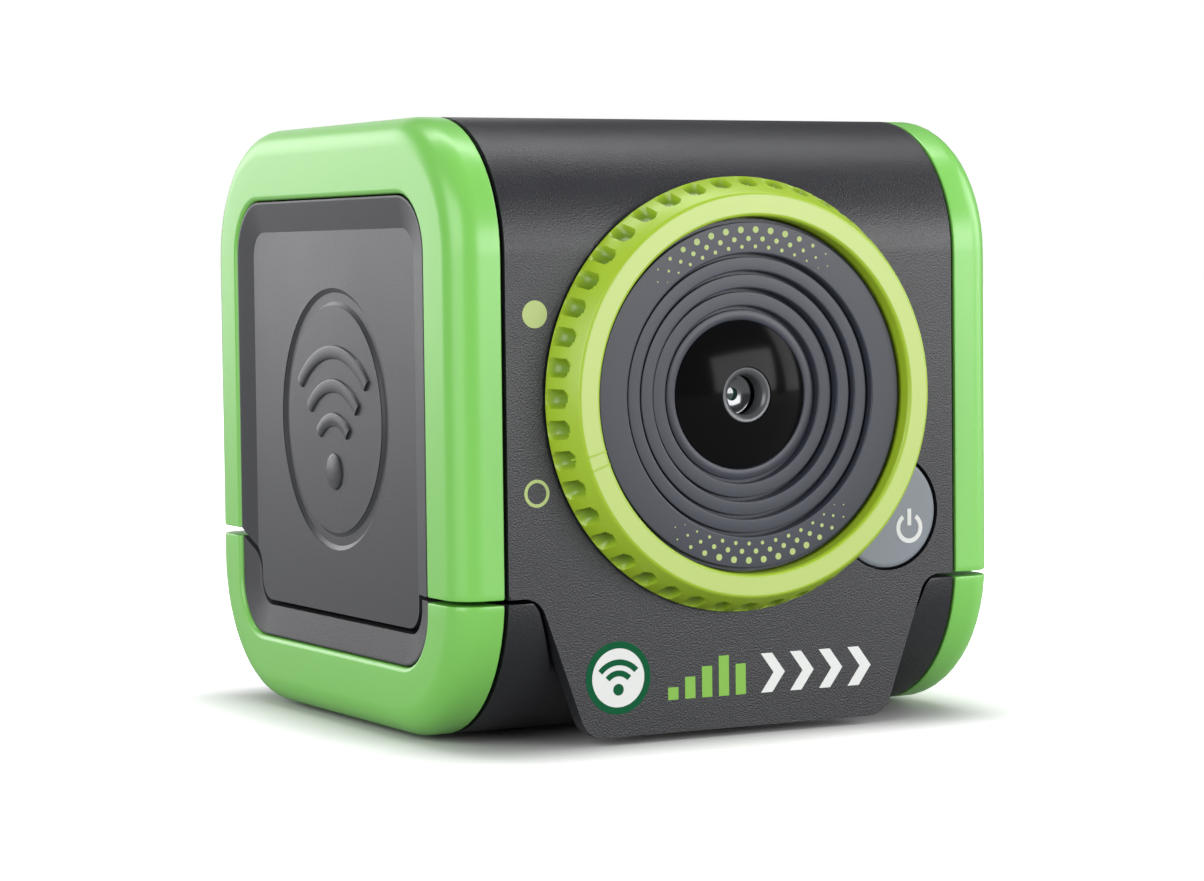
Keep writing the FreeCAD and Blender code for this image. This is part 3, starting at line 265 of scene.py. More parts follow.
FINISHES = {
    "charcoal_shell": moulding("charcoal_shell", (0.013, 0.0135, 0.0175), 0.35, 0.22, 0.06, 0.2),
    "green_frame": moulding("green_frame", (0.20, 0.57, 0.10), 0.34, 0.5, 0.002, 0.04,
                            Coat_Weight=0.25, Coat_Roughness=0.25, Subsurface_Weight=0.08,
                            Subsurface_Radius=(0.001, 0.002, 0.0006)),
    "grey_panel": moulding("grey_panel", (0.032, 0.033, 0.039), 0.34, 0.25, 0.020, 0.10),
    "dark_liner": moulding("dark_liner", (0.045, 0.045, 0.050), 0.48, 0.25, 0.05, 0.15),
    "lime_ring": moulding("lime_ring", (0.34, 0.51, 0.024), 0.34, 0.4, 0.002, 0.04,
                          Subsurface_Weight=0.1, Subsurface_Radius=(0.002, 0.002, 0.0005)),
    "black_moulding": moulding("black_moulding", (0.015, 0.015, 0.016), 0.5, 0.3, 0.01),
    "spring_steel": moulding("spring_steel", (0.55, 0.55, 0.56), 0.3, 0.1, 0.004, Metallic=1.0),
    "screw_steel": moulding("screw_steel", (0.45, 0.45, 0.46), 0.35, 0.1, 0.006, Metallic=1.0),
    "pin_steel": moulding("pin_steel", (0.50, 0.50, 0.51), 0.25, 0.1, 0.004, Metallic=1.0),
    "grey_bezel": moulding("grey_bezel", (0.036, 0.040, 0.056), 0.34, 0.3, 0.003, 0.06,
                           Specular_IOR_Level=0.38),
    "smoked_window": moulding("smoked_window", (0.004, 0.004, 0.0045), 0.13, 1.5, 0.0003, 0.02,
                              Specular_IOR_Level=0.08),
    "trim_grey": moulding("trim_grey", (0.10, 0.103, 0.11), 0.30, 0.3, 0.003, Metallic=0.3),
    "shutter_black": moulding("shutter_black", (0.012, 0.012, 0.012), 0.6, 0.15, 0.006),
    "lens_glass": moulding("lens_glass", (0.01, 0.05, 0.042), 0.03, 1.5, 0.0004, 0.02,
                           Coat_Weight=1.0, Coat_Roughness=0.01, Specular_IOR_Level=0.9),
    "sensor_chip": moulding("sensor_chip", (0.03, 0.03, 0.034), 0.35, 0.2, 0.004),
    "circuit_board": moulding("circuit_board", (0.008, 0.085, 0.03), 0.3, 0.5, 0.01, 0.3),
    "thermal_rubber": moulding("thermal_rubber", (0.28, 0.31, 0.38), 0.8, 0.4, 0.02),
    "sink_aluminium": moulding("sink_aluminium", (0.55, 0.56, 0.58), 0.4, 0.2, 0.008, Metallic=1.0),
    "socket_metal": moulding("socket_metal", (0.60, 0.60, 0.60), 0.28, 0.3, 0.003, Metallic=1.0),
    "flex_film": moulding("flex_film", (0.42, 0.20, 0.03), 0.3, 1.0, 0.004, 0.15),
    "button_grey": moulding("button_grey", (0.21, 0.235, 0.265), 0.38, 0.25, 0.006, 0.06),
    "grip_rubber": moulding("grip_rubber", (0.018, 0.018, 0.019), 0.8, 0.35, 0.03, 0.2),
    "label_film": moulding("label_film", (0.17, 0.17, 0.18), 0.5, 0.3, 0.004),
}
for entry in frame["record"]["subparts"]:
    node = frame["nodes"][entry["node"]]
    node.data.materials.clear()
    node.data.materials.append(FINISHES[entry["material_slot"]])


# ------------------------------------------------------------------ shells, base and small parts
# The injection-moulded shells keep the exact shape of the design.  Their meshes are welded copies
# with a hair-thin round on every sharp edge, as a mould leaves, so that edges catch the light.
def place_piece(name, form, slot, body, smooth=32, material=None, bevel=0.0, stands_for=()):
    """Turn a bmesh into a finished piece that rides on a body and stands for CAD nodes."""
    mesh = bpy.data.meshes.new(name)
    form.to_mesh(mesh)
    form.free()
    mesh.materials.append(material or FINISHES[slot])
    for polygon in mesh.polygons:
        polygon.use_smooth = True
    mesh.set_sharp_from_angle(angle=math.radians(smooth))
    piece = bpy.data.objects.new(name, mesh)
    bpy.context.scene.collection.objects.link(piece)
    if bevel:
        rounding = piece.modifiers.new("edge_round", "BEVEL")
        rounding.width = bevel * MM
        rounding.segments = 2
        rounding.limit_method = "ANGLE"
        rounding.angle_limit = math.radians(40)
        rounding.harden_normals = False
    weighting = piece.modifiers.new("even_shading", "WEIGHTED_NORMAL")
    weighting.keep_sharp = True
    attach(piece, body)
    if stands_for:
        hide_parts(*stands_for)
    return piece


BODY_OF = {name: body for body, names in frame["record"]["behaviour"]["bodies"].items() for name in names}
SLOT_OF = {entry["node"]: entry["material_slot"] for entry in frame["record"]["subparts"]}


def welded(node):
    """A bmesh copy of a CAD node with its triangles joined and its flats dissolved."""
    form = bmesh.new()
    form.from_mesh(frame["nodes"][node].data)
    bmesh.ops.remove_doubles(form, verts=form.verts, dist=0.002 * MM)
    bmesh.ops.dissolve_limit(form, angle_limit=math.radians(0.5), verts=form.verts, edges=form.edges)
    return form


for node, width in (("front_housing", 0.2), ("rear_housing", 0.15), ("base_shell", 0.2),
                    ("base_cover", 0.2),
                    ("hdmi_socket", 0.06), ("usb_c_socket", 0.06), ("base_feet", 0.3),
                    ("housing_grip_pad", 0.15), ("base_grip_pad", 0.15), ("rear_label", 0.05)):
    place_piece(f"{node}_moulded", welded(node), SLOT_OF[node], BODY_OF[node], bevel=width,
                stands_for=(node,))


# ------------------------------------------------------------------ green side frames
# Glossy green surrounds, one pair on the body and one pair on the base, split by a thin gap.
# Each is a rounded square ring whose outer edge has a large soft round.
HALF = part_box("right_frame_upper")[1][0]
FRAME_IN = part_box("right_frame_upper")[0][0]
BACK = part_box("right_frame_upper")[1][1]
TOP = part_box("right_frame_upper")[1][2]
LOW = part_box("base_right_frame")[0][2]
UPPER_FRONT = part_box("right_frame_upper")[0][2]
FRONT_GAP, BACK_GAP = 0.6 * MM, 1.1 * MM
LOWER_FRONT = UPPER_FRONT - FRONT_GAP
LOWER_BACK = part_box("base_right_frame")[1][2]
UPPER_BACK = LOWER_BACK + BACK_GAP
BASE_CORNER, ROOF_CORNER = 19.5 * MM, 18.0 * MM
WINDOW = {
    "front": FRONT + 9.5 * MM, "back": BACK - 8.6 * MM,
    "top": TOP - 9.8 * MM, "low": 9.75 * MM, "round": 7.7 * MM,
}


def rounded_loop(form, x, front, back, low, top, low_round, top_round, segments=14):
    """The edges of a rounded rectangle that stands square to X."""
    places = ((front, low), (back, low), (back, top), (front, top))
    corners = [form.verts.new((x, y, z)) for y, z in places]
    form.faces.new(corners)
    before = set(form.verts) - set(corners)
    for pair, radius in ((corners[:2], low_round), (corners[2:], top_round)):
        bmesh.ops.bevel(form, geom=pair, offset=radius, segments=segments, profile=0.5,
                        affect="VERTICES", material=-1)
    fresh = [vert for vert in form.verts if vert not in before]
    edges = [edge for edge in form.edges if edge.verts[0] in fresh and edge.verts[1] in fresh]
    face = fresh[0].link_faces[0]
    bmesh.ops.delete(form, geom=[face], context="FACES_ONLY")
    return edges


def frame_ring(side):
    """A whole side frame: two loops bridged, given depth, and rounded along its edges."""
    form = bmesh.new()
    outer = rounded_loop(form, side * FRAME_IN, FRONT, BACK, LOW, TOP, BASE_CORNER, ROOF_CORNER)
    inner = rounded_loop(form, side * FRAME_IN, WINDOW["front"], WINDOW["back"], WINDOW["low"],
                         WINDOW["top"], WINDOW["round"], WINDOW["round"])
    ring = bmesh.ops.bridge_loops(form, edges=outer + inner)["faces"]
    grown = bmesh.ops.extrude_face_region(form, geom=ring, use_keep_orig=True)["geom"]
    raised = [item for item in grown if isinstance(item, bmesh.types.BMVert)]
    bmesh.ops.translate(form, verts=raised, vec=(side * (HALF - FRAME_IN), 0, 0))
    bmesh.ops.recalc_face_normals(form, faces=form.faces)

    def rim(x, wide):
        """Edges round the outside (wide) or the window, in the plane square to X."""
        found = []
        for edge in form.edges:
            if all(abs(vert.co.x - x) < 1e-6 for vert in edge.verts) and edge.calc_face_angle(0) > 1.2:
                spot = (edge.verts[0].co + edge.verts[1].co) / 2
                inside = (WINDOW["front"] - 0.001 < spot.y < WINDOW["back"] + 0.001
                          and WINDOW["low"] - 0.001 < spot.z < WINDOW["top"] + 0.001)
                if inside != wide:
                    found.append(edge)
        return found

    for x, wide, width, segments in ((HALF, True, 3.8, 8), (HALF, False, 0.7, 3), (FRAME_IN, True, 0.3, 2)):
        bmesh.ops.bevel(form, geom=rim(side * x, wide), offset=width * MM, segments=segments, profile=0.5,
                        affect="EDGES", material=-1)
    return form


def keep_part(form, upper):
    """Cut a frame at its split, which is lower at the front than at the back."""
    middle = (FRONT + BACK) / 2
    for is_front, height in ((True, UPPER_FRONT if upper else LOWER_FRONT),
                             (False, UPPER_BACK if upper else LOWER_BACK)):
        faces = [face for face in form.faces if (face.calc_center_median().y < middle) == is_front]
        edges = list({edge for face in faces for edge in face.edges})
        verts = list({vert for face in faces for vert in face.verts})
        bmesh.ops.bisect_plane(form, geom=verts + edges + faces, dist=1e-7, plane_co=(0, 0, height),
                               plane_no=(0, 0, 1), clear_inner=upper, clear_outer=not upper)
    open_edges = [edge for edge in form.edges if edge.is_boundary]
    caps = bmesh.ops.holes_fill(form, edges=open_edges, sides=0)["faces"]
    lip = list({edge for face in caps for edge in face.edges})
    bmesh.ops.bevel(form, geom=lip, offset=0.25 * MM, segments=2, profile=0.5, affect="EDGES", material=-1)
    return form


for side, word in ((-1, "left"), (1, "right")):
    place_piece(f"{word}_green_frame", keep_part(frame_ring(side), True), "green_frame",
                "camera_body", stands_for=(f"{word}_frame_upper",))
    place_piece(f"{word}_green_base_frame", keep_part(frame_ring(side), False), "green_frame",
                "base", stands_for=(f"base_{word}_frame",))


# ------------------------------------------------------------------ side panels and emblem
# Dark grey panels with a sloping border round a flat field.  A round moat and a raised motion
# sign of a dot and three arcs are moulded into the middle of the field.
def spun(points, centre, axis=(0, 1, 0), steps=96, angle=math.tau, start=(1, 0, 0)):
    """A bmesh turned from (radius, distance along the axis) corners about a centre."""
    form = bmesh.new()
    out, along = Vector(start), Vector(axis)
    verts = [form.verts.new(out * radius + along * distance) for radius, distance in points]
    closed = points[0][0] > 0 and points[-1][0] > 0
    pairs = list(zip(verts, verts[1:] + verts[:1])) if closed else list(zip(verts, verts[1:]))
    edges = [form.edges.new(pair) for pair in pairs]
    full = abs(angle - math.tau) < 1e-6
    bmesh.ops.spin(form, geom=verts + edges, cent=(0, 0, 0), axis=axis, angle=angle, steps=steps,
                   use_merge=full, use_duplicate=False)
    bmesh.ops.remove_doubles(form, verts=form.verts, dist=1e-7)
    if not full:
        bmesh.ops.holes_fill(form, edges=[edge for edge in form.edges if edge.is_boundary], sides=0)
    bmesh.ops.recalc_face_normals(form, faces=form.faces)
    bmesh.ops.translate(form, verts=form.verts, vec=centre)
    return form


def merged(*forms):
    """Several bmeshes as one."""
    whole = bmesh.new()
    for form in forms:
        holder = bpy.data.meshes.new("holder")
        form.to_mesh(holder)
        form.free()
        whole.from_mesh(holder)
        bpy.data.meshes.remove(holder)
    return whole


def carve(form, tool):
    """A bmesh less a tool, both closed."""
    holders = []
    for name, shape in (("block", form), ("tool", tool)):
        mesh = bpy.data.meshes.new(name)
        shape.to_mesh(mesh)
        shape.free()
        holder = bpy.data.objects.new(name, mesh)
        bpy.context.scene.collection.objects.link(holder)
        holders.append(holder)
    cutting = holders[0].modifiers.new("cut", "BOOLEAN")
    cutting.operation = "DIFFERENCE"
    cutting.solver = "EXACT"
    cutting.object = holders[1]
    graph = bpy.context.evaluated_depsgraph_get()
    result = bpy.data.meshes.new_from_object(holders[0].evaluated_get(graph))
    carved = bmesh.new()
    carved.from_mesh(result)
    bpy.data.meshes.remove(result)
    for holder in holders:
        spare = holder.data
        bpy.data.objects.remove(holder)
        bpy.data.meshes.remove(spare)
    return carved


def prism(corners, x_low, x_high, rounds):
    """A plate square to X from (y, z) corners; rounds gives a radius for some of them."""
    form = bmesh.new()
    verts = [form.verts.new((x_low, y, z)) for y, z in corners]
    form.faces.new(verts)
    for radius in sorted(set(rounds.values())):
        chosen = [verts[number] for number, wanted in rounds.items() if wanted == radius]
        bmesh.ops.bevel(form, geom=chosen, offset=radius, segments=10, profile=0.5,
                        affect="VERTICES", material=-1)
    grown = bmesh.ops.extrude_face_region(form, geom=form.faces[:], use_keep_orig=True)["geom"]
    raised = [item for item in grown if isinstance(item, bmesh.types.BMVert)]
    bmesh.ops.translate(form, verts=raised, vec=(x_high - x_low, 0, 0))
    bmesh.ops.recalc_face_normals(form, faces=form.faces)
    return form


FIELD_DROP, SLOPE, FIT = 0.75 * MM, 3.9 * MM, 0.2 * MM
FLAT_RIM, CUT_ABOVE = 0.25 * MM, 0.3 * MM


def window_recess(side, face):
    """The shallow dished space over a window: four slopes down to a flat field, closed."""
    form = bmesh.new()
    loops = []
    for rise in (CUT_ABOVE, -FIELD_DROP):
        grow = SLOPE * rise / FIELD_DROP - FLAT_RIM
        loops.append(rounded_loop(form, face + side * rise, WINDOW["front"] + FIT - grow,
                                  WINDOW["back"] - FIT + grow, WINDOW["low"] + FIT - grow,
                                  WINDOW["top"] - FIT + grow, WINDOW["round"] + grow,
                                  WINDOW["round"] + grow))
    bmesh.ops.bridge_loops(form, edges=loops[0] + loops[1])
    bmesh.ops.holes_fill(form, edges=[edge for edge in form.edges if edge.is_boundary], sides=0)
    bmesh.ops.recalc_face_normals(form, faces=form.faces)
    return form


PANEL_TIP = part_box("left_side_panel")[0][2]
NEAR, FAR = WINDOW["front"] + FIT, WINDOW["back"] - FIT
TIP_NEAR, TIP_FAR = NEAR + 3.8 * MM, FAR - 5.6 * MM
GAP = 0.75 * MM
for side, word in ((-1, "left"), (1, "right")):
    low_corner, high_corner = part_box(f"{word}_side_panel")
    face = side * max(abs(low_corner[0]), abs(high_corner[0]))
    root = side * min(abs(low_corner[0]), abs(high_corner[0]))
    field = face - side * FIELD_DROP
    centre = Vector((field, (WINDOW["front"] + WINDOW["back"]) / 2 - 0.7 * MM, 40.7 * MM))
    outward = (side, 0, 0)
    moat = spun([(15.2 * MM, 0.5 * MM), (15.2 * MM, -0.12 * MM), (15.7 * MM, -0.42 * MM),
                 (16.9 * MM, -0.42 * MM), (17.5 * MM, -0.1 * MM), (17.5 * MM, 0.5 * MM)],
                centre, outward, 128, start=(0, 1, 0))
    outline = [(NEAR, UPPER_FRONT), (TIP_NEAR, UPPER_FRONT), (TIP_NEAR, PANEL_TIP), (TIP_FAR, PANEL_TIP),
               (TIP_FAR, UPPER_BACK - 3.4 * MM), (FAR, UPPER_BACK), (FAR, WINDOW["top"] - FIT),
               (NEAR, WINDOW["top"] - FIT)]
    slab = prism(outline, root, face, {2: 3.2 * MM, 3: 3.2 * MM, 4: 2.0 * MM, 6: 7.5 * MM, 7: 7.5 * MM})
    slab = carve(carve(slab, window_recess(side, face)), moat)
    place_piece(f"{word}_panel", slab, "grey_panel", "camera_body", smooth=5, bevel=0.1,
                stands_for=(f"{word}_side_panel",))
    liner_low, liner_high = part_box(f"base_{word}_liner")
    liner_face = side * max(abs(liner_low[0]), abs(liner_high[0]))
    liner_root = side * min(abs(liner_low[0]), abs(liner_high[0]))
    outline = [(NEAR, WINDOW["low"] + FIT), (FAR, WINDOW["low"] + FIT), (FAR, LOWER_BACK),
               (TIP_FAR + GAP, LOWER_BACK - 3.0 * MM), (TIP_FAR + GAP, PANEL_TIP - GAP),
               (TIP_NEAR - GAP, PANEL_TIP - GAP), (TIP_NEAR - GAP, LOWER_FRONT), (NEAR, LOWER_FRONT)]
    slab = prism(outline, liner_root, liner_face, {0: 7.5 * MM, 1: 7.5 * MM, 3: 2.4 * MM, 4: 3.6 * MM,
                                                   5: 3.6 * MM})
    place_piece(f"base_{word}_liner_moulded", carve(slab, window_recess(side, liner_face)), "dark_liner",
                "base", smooth=5, bevel=0.15, stands_for=(f"base_{word}_liner",))
    rise, rooted = 0.35 * MM, -0.1 * MM
    foot = centre + Vector((0, 0, -7 * MM))
    spread = math.radians(86)
    arc_start = (0, side * math.sin(spread / 2), math.cos(spread / 2))
    sign = [spun([(0, rise), (2.0 * MM, rise), (2.4 * MM, rise * 0.6), (2.5 * MM, rooted), (0, rooted)],
                 foot, outward, 40, start=(0, 1, 0))]
    for radius in (6.0, 10.5, 15.0):
        section = ((0, rooted), (0.15, rise * 0.7), (0.5, rise), (1.5, rise), (1.85, rise * 0.7),
                   (2, rooted))
        bar = [((radius + across) * MM, height) for across, height in section]
        sign.append(spun(bar, foot, outward, 40, spread, start=arc_start))
    place_piece(f"{word}_panel_sign", merged(*sign), "grey_panel", "camera_body")


# ------------------------------------------------------------------ lens ring
# Yellow-green ring that turns the shutter.  It is one moulding: a flat front band painted a paler green as
# a painted highlight, a sloping rim with a row of thumb pockets painted a darker green as painted shade in
# their hollows, and a fine double pointer line.
RING_LOW, RING_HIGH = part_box("lens_ring")
LENS = Vector((0, RING_LOW[1], (RING_LOW[2] + RING_HIGH[2]) / 2))
RING_RADIUS = (RING_HIGH[0] - RING_LOW[0]) / 2
DIMPLES = 44
rim_rows = 20
slope_start, slope_end = (25.75 * MM, 0.12 * MM), (RING_RADIUS, 4.75 * MM)
slope = []
for row in range(rim_rows + 1):
    share = row / rim_rows
    swell = math.sin(share * math.pi) * 0.22 * MM
    slope.append((slope_start[0] + (slope_end[0] - slope_start[0]) * share + swell,
                  slope_start[1] + (slope_end[1] - slope_start[1]) * share))
mouth_edge = [(22.75, 3.9), (22.75, 0.55), (22.8, 0.3), (22.95, 0.1), (23.15, 0.0), (25.5, 0.0)]
collar = [(18.6, 5.1), (18.6, 8.0), (15.6, 8.0), (15.6, 4.0)]
profile = [(radius * MM, depth * MM) for radius, depth in mouth_edge]
profile += [*slope, (RING_RADIUS, 5.0 * MM), (RING_RADIUS - 0.15 * MM, 5.1 * MM)]
profile += [(radius * MM, depth * MM) for radius, depth in collar]
POCKET_DEPTH, POCKET_WIDTH, POCKET_MIDDLE, POCKET_LENGTH = 1.2 * MM, 0.30, 0.68, 0.34
ring = spun(profile, (0, 0, 0), steps=DIMPLES * 16)
# Each point's depth in its pocket is kept to paint shade into the pockets.
pocket_shade = ring.verts.layers.float.new("pocket_shade")
for vert in ring.verts:
    reach = math.hypot(vert.co.x, vert.co.z)
    if reach < 25.9 * MM or not 0.2 * MM < vert.co.y < 4.9 * MM:
        continue
    along = (vert.co.y - slope_start[1]) / (slope_end[1] - slope_start[1])
    phase = math.atan2(vert.co.z, vert.co.x) / math.tau * DIMPLES
    across = ((phase + 0.57) % 1.0 - 0.5) / POCKET_WIDTH
    length = (along - POCKET_MIDDLE) / POCKET_LENGTH
    bowl = max(0.0, 1 - abs(across) ** 3 - abs(length) ** 3) ** 0.5
    vert[pocket_shade] = bowl
    shrink = 1 - POCKET_DEPTH * bowl / reach
    vert.co.x *= shrink
    vert.co.z *= shrink
bmesh.ops.translate(ring, verts=ring.verts, vec=LENS)
ring_finish = FINISHES["lime_ring"].copy()
ring_finish.name = "lime_ring_painted_pocket_shade"
ring_tree = ring_finish.node_tree
# Painted shade: the ring's green darkens towards the bottom of each pocket.
painted_pocket_shade = ring_tree.nodes.new("ShaderNodeAttribute")
painted_pocket_shade.attribute_name = "pocket_shade"
shade = ring_tree.nodes.new("ShaderNodeMix")
shade.data_type = "RGBA"
ring_group = next(step for step in ring_tree.nodes if step.type == "GROUP")
shade.inputs["A"].default_value = ring_group.inputs["Colour"].default_value
shade.inputs["B"].default_value = (0.15, 0.26, 0.010, 1)
link(ring_tree, painted_pocket_shade, "Fac", shade, "Factor")
link(ring_tree, shade, "Result", ring_group, "Colour")
place_piece("lens_ring_moulded", ring, "lime_ring", "lens_ring", smooth=38, material=ring_finish,
            stands_for=("lens_ring",))

# The front band is printed over in a paler copy of the ring's green: a painted highlight on the flat face.
band_painted_highlight = moulding("lime_band_painted_highlight", (0.46, 0.59, 0.155), 0.30, 0.4, 0.002, 0.04)
sunk, proud = 0.02 * MM, -0.015 * MM
band = spun([(23.2 * MM, sunk), (23.2 * MM, proud), (25.45 * MM, proud), (25.45 * MM, sunk)], LENS,
            steps=176)
place_piece("lens_ring_highlight_band", band, "lime_ring", "lens_ring", material=band_painted_highlight)
POINTER_ANGLE, POINTER_SPREAD = 161.8, 2.1
line = [(22.95, 0.0), (22.95, -0.09), (25.6, -0.09), (26.9, 2.15), (26.8, 2.3)]
pointer = []
for shift in (-POINTER_SPREAD, POINTER_SPREAD):
    toward = math.radians(POINTER_ANGLE) + math.radians(shift)
    start = Vector((math.cos(toward), 0, -math.sin(toward)))
    pointer.append(spun([(radius * MM, depth * MM) for radius, depth in line], LENS, steps=2,
                        angle=math.radians(0.45), start=start))
place_piece("lens_ring_pointer", merged(*pointer), "lime_ring", "lens_ring")


# ------------------------------------------------------------------ bezel, window and lens
# The fixed blue-grey funnel steps down in five rings to a glossy black window.  A small grey trim
# tube in its middle frames the coated lens, which sits in a polished dish behind the shutter leaves.
# Printed dots fade out along two arcs.
def stepped_profile():
    """The funnel's front from its rim inwards, each step with a rounded shoulder."""
    faces = [(22.5, 18.07, 1.62), (18.07, 15.86, 2.37), (15.86, 13.64, 3.01), (13.64, 11.36, 3.91),
             (11.36, 9.53, 4.61)]
    corners = [(22.5, 3.6), (22.5, 2.3)]
    for outer, inner, depth in faces:
        groove = min(0.65, 4.95 - depth)
        corners += [(outer - 0.02, depth + groove), (outer - 0.42, depth + groove),
                    (outer - 0.46, depth + 0.06), (outer - 0.58, depth),
                    (inner + 0.24, depth), (inner + 0.08, depth + 0.05),
                    (inner + 0.01, depth + 0.14), (inner, depth + 0.34)]
    corners += [(9.53, 5.05), (15.1, 5.05), (15.1, 3.6)]
    return [(radius * MM, depth * MM) for radius, depth in corners]


place_piece("bezel_funnel", spun(stepped_profile(), LENS, steps=160), "grey_bezel", "camera_body",
            smooth=50, stands_for=("bezel_disc",))

sphere, mouth, rim_depth, tube_hole = 23.6, 9.5, 4.61, 3.63
dome_profile = []
for row in range(15):
    radius = mouth + (tube_hole - mouth) * row / 14
    dome_profile.append((radius * MM, (rim_depth + math.sqrt(sphere ** 2 - mouth ** 2)
                                       - math.sqrt(sphere ** 2 - radius ** 2)) * MM))
flange = [(tube_hole, 3.7), (9.0, 5.45), (10.7, 5.45), (10.7, 5.08), (mouth, 5.08)]
dome_profile += [(radius * MM, depth * MM) for radius, depth in flange]
place_piece("window_dome", spun(dome_profile, LENS, steps=128), "smoked_window", "camera_body",
            smooth=40, stands_for=("dome_window",))
trim = [(2.57, 5.38), (2.57, 3.62), (2.62, 3.45), (3.10, 3.02), (3.22, 2.99), (3.45, 2.99), (3.56, 3.06),
        (3.61, 3.20), (3.61, 5.38)]
place_piece("lens_trim_tube", spun([(r * MM, d * MM) for r, d in trim], LENS, steps=96), "trim_grey",
            "camera_body", stands_for=("lens_trim_ring",))
LENS_SUNK, LENS_CURVE, LENS_RADIUS, LENS_THICK = 0.45 * MM, 4.6 * MM, 2.75 * MM, 1.1 * MM
dish_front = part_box("lens_front_element")[0][1] - LENS.y
glass_front = dish_front + LENS_SUNK
glass = [(0.0, glass_front)]
for row in range(1, 11):
    radius = LENS_RADIUS * row / 10
    glass.append((radius, glass_front + LENS_CURVE - math.sqrt(LENS_CURVE ** 2 - radius ** 2)))
glass += [(LENS_RADIUS, glass_front + LENS_THICK), (0.0, glass_front + LENS_THICK)]
place_piece("lens_glass_cap", spun(glass, LENS, steps=64), "lens_glass", "camera_body",
            stands_for=("lens_front_element",))
dish = [(2.60, 0.90), (2.60, -0.06), (2.42, -0.06), (2.1, 0.12), (1.7, 0.30), (1.2, 0.42), (0.85, 0.46),
        (0.85, 0.50)]
dish_finish = moulding("lens_dish", (0.16, 0.165, 0.17), 0.17, 0.3, 0.002, Metallic=0.85)
place_piece("lens_dish", spun([(r * MM, dish_front + d * MM) for r, d in dish], LENS, steps=72),
            "trim_grey", "camera_body", material=dish_finish)


def dot(x, z, radius, front, thick=0.03, sides=20):
    """A small printed disc, square to the lens axis, just proud of a flat."""
    form = bmesh.new()
    bmesh.ops.create_circle(form, cap_ends=True, radius=radius, segments=sides)
    bmesh.ops.rotate(form, verts=form.verts, cent=(0, 0, 0), matrix=Matrix.Rotation(math.pi / 2, 3, "X"))
    grown = bmesh.ops.extrude_face_region(form, geom=form.faces[:], use_keep_orig=True)["geom"]
    raised = [item for item in grown if isinstance(item, bmesh.types.BMVert)]
    bmesh.ops.translate(form, verts=raised, vec=(0, -thick * MM - sunk, 0))
    bmesh.ops.recalc_face_normals(form, faces=form.faces)
    bmesh.ops.translate(form, verts=form.verts, vec=(x, front + sunk, z))
    return form


lime_ink = moulding("lime_ink", (0.42, 0.53, 0.17), 0.45, 0.2, 0.004, 0.05)
dots = []
for half_turn in (0, 180):
    for radius, count, largest in ((21.1, 13, 0.86), (19.95, 14, 0.66), (18.95, 13, 0.50)):
        for number in range(count):
            offset = number - (count - 1) / 2
            angle = math.radians(90 + half_turn + 4 + 6 * offset)
            edge = max(0.0, abs(offset) - 3.0) / ((count - 1) / 2 - 3.0)
            size = largest / 2 * (1 - 0.72 * edge ** 1.3)
            dots.append(dot(LENS.x + radius * MM * math.cos(angle), LENS.z + radius * MM * math.sin(angle),
                            size * MM, LENS.y + 1.62 * MM))
place_piece("bezel_dots", merged(*dots), "grey_bezel", "camera_body", material=lime_ink)


# ------------------------------------------------------------------ prints on the lens wall
# Ink marks: a filled spot for shutter closed and an open ring for shutter open, and on the
# apron a round badge beside a plain motion strip of bars and chevrons.
def ring_print(x, z, inner, outer, front, sides=48, angle=math.tau, start=(1, 0, 0)):
    """A flat printed ring or arc."""
    ink = -0.03 * MM
    return spun([(inner, sunk), (inner, ink), (outer, ink), (outer, sunk)], (x, front, z), steps=sides,
                angle=angle, start=start)


def strip_print(points, front, thick=0.03):
    """A flat printed polygon from (x, z) corners."""
    form = bmesh.new()
    face = form.faces.new([form.verts.new((x * MM, front + sunk, z * MM)) for x, z in points])
    grown = bmesh.ops.extrude_face_region(form, geom=[face], use_keep_orig=True)["geom"]
    raised = [item for item in grown if isinstance(item, bmesh.types.BMVert)]
    bmesh.ops.translate(form, verts=raised, vec=(0, -thick * MM - sunk, 0))
    bmesh.ops.recalc_face_normals(form, faces=form.faces)
    return form


MARK_X = -29.04 * MM
marks = merged(dot(MARK_X, 54.83 * MM, 1.73 * MM, FRONT, sides=48),
               ring_print(MARK_X, 32.49 * MM, 1.33 * MM, 1.75 * MM, FRONT))
place_piece("ring_marks", marks, "charcoal_shell", "camera_body", material=lime_ink)

white_ink = moulding("white_ink", (0.74, 0.75, 0.74), 0.5, 0.2, 0.004, 0.04)
green_ink = moulding("green_ink", (0.001, 0.095, 0.034), 0.6, 0.2, 0.004, 0.04, Specular_IOR_Level=0.1)
leaf_ink = moulding("leaf_ink", (0.20, 0.46, 0.045), 0.5, 0.2, 0.004, 0.04)
BADGE = (-17.8, 8.65)
badge_rim = ring_print(BADGE[0] * MM, BADGE[1] * MM, 3.75 * MM, 4.65 * MM, FRONT, 64)
place_piece("apron_badge_rim", badge_rim, "charcoal_shell", "camera_body", material=green_ink)
place_piece("apron_badge", dot(BADGE[0] * MM, BADGE[1] * MM, 3.9 * MM, FRONT, 0.025, 64), "charcoal_shell",
            "camera_body", material=white_ink)
sign_x, sign_z, fan = BADGE[0] * MM, (BADGE[1] - 1.5) * MM, math.radians(96)
badge_sign = merged(dot(sign_x, sign_z, 0.75 * MM, FRONT, 0.05, 32),
                    *[ring_print(sign_x, sign_z, radius * MM, (radius + 0.75) * MM, FRONT - 0.025 * MM, 24,
                                 fan, (-math.sin(fan / 2), 0, math.cos(fan / 2)))
                      for radius in (1.7, 3.1)])
place_piece("apron_badge_sign", badge_sign, "charcoal_shell", "camera_body", material=green_ink)
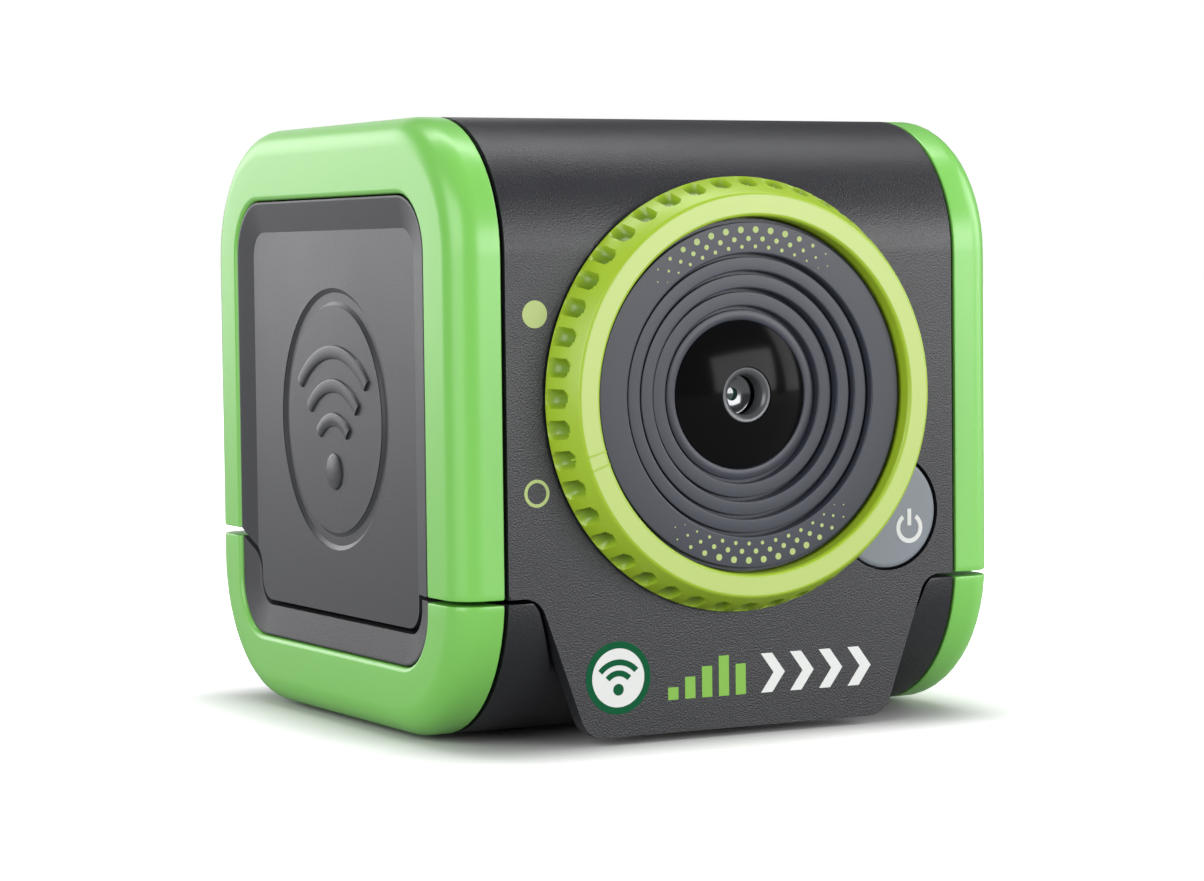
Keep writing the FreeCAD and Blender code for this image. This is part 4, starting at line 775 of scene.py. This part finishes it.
PRINT_LINE = 5.3
bars = []
for number, height in enumerate((1.6, 2.8, 4.0, 5.2, 4.0)):
    x = -10.6 + number * 2.5
    bars.append(strip_print([(x + across, PRINT_LINE + rise) for across, rise in
                             ((0, 0), (1.5, 0), (1.5, height), (0, height))], FRONT))
place_piece("apron_bars", merged(*bars), "charcoal_shell", "camera_body", material=leaf_ink)
chevrons = []
for number in range(4):
    x = 3.2 + number * 4.4
    chevrons.append(strip_print([(x + across, PRINT_LINE + rise) for across, rise in
                                 ((0, 0), (1.7, 0), (3.6, 2.55), (1.7, 5.1), (0, 5.1), (1.9, 2.55))],
                                FRONT))
place_piece("apron_chevrons", merged(*chevrons), "charcoal_shell", "camera_body", material=white_ink)


# ------------------------------------------------------------------ power button
# A round blue-grey cap, almost flush with the lens wall and partly behind the ring.  Its
# standby sign is printed in white.
BUTTON_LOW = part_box("power_button")[0]
CAP_RADIUS = 7.5 * MM
CAP = Vector((BUTTON_LOW[0] + CAP_RADIUS, BUTTON_LOW[1], BUTTON_LOW[2] + CAP_RADIUS))
cap_profile = [(0, 0), (6.9 * MM, 0.0), (7.2 * MM, 0.04 * MM), (7.4 * MM, 0.15 * MM),
               (CAP_RADIUS, 0.4 * MM), (CAP_RADIUS, 2.3 * MM), (5.0 * MM, 2.3 * MM), (5.0 * MM, 4.3 * MM),
               (0, 4.3 * MM)]
place_piece("power_cap", spun(cap_profile, CAP, steps=96), "button_grey", "power_button",
            stands_for=("power_button",))
icon_x, icon_z, icon_front = CAP.x + 3.4 * MM, CAP.z - 2.3 * MM, CAP.y
gap = math.radians(34)
icon = merged(
    ring_print(icon_x, icon_z, 1.45 * MM, 2.05 * MM, icon_front, 40, math.tau - 2 * gap,
               (math.sin(gap), 0, math.cos(gap))),
    strip_print([(icon_x / MM + across, icon_z / MM + rise) for across, rise in
                 ((-0.3, 0.3), (0.3, 0.3), (0.3, 2.5), (-0.3, 2.5))], icon_front))
place_piece("power_sign", icon, "button_grey", "power_button", material=white_ink)
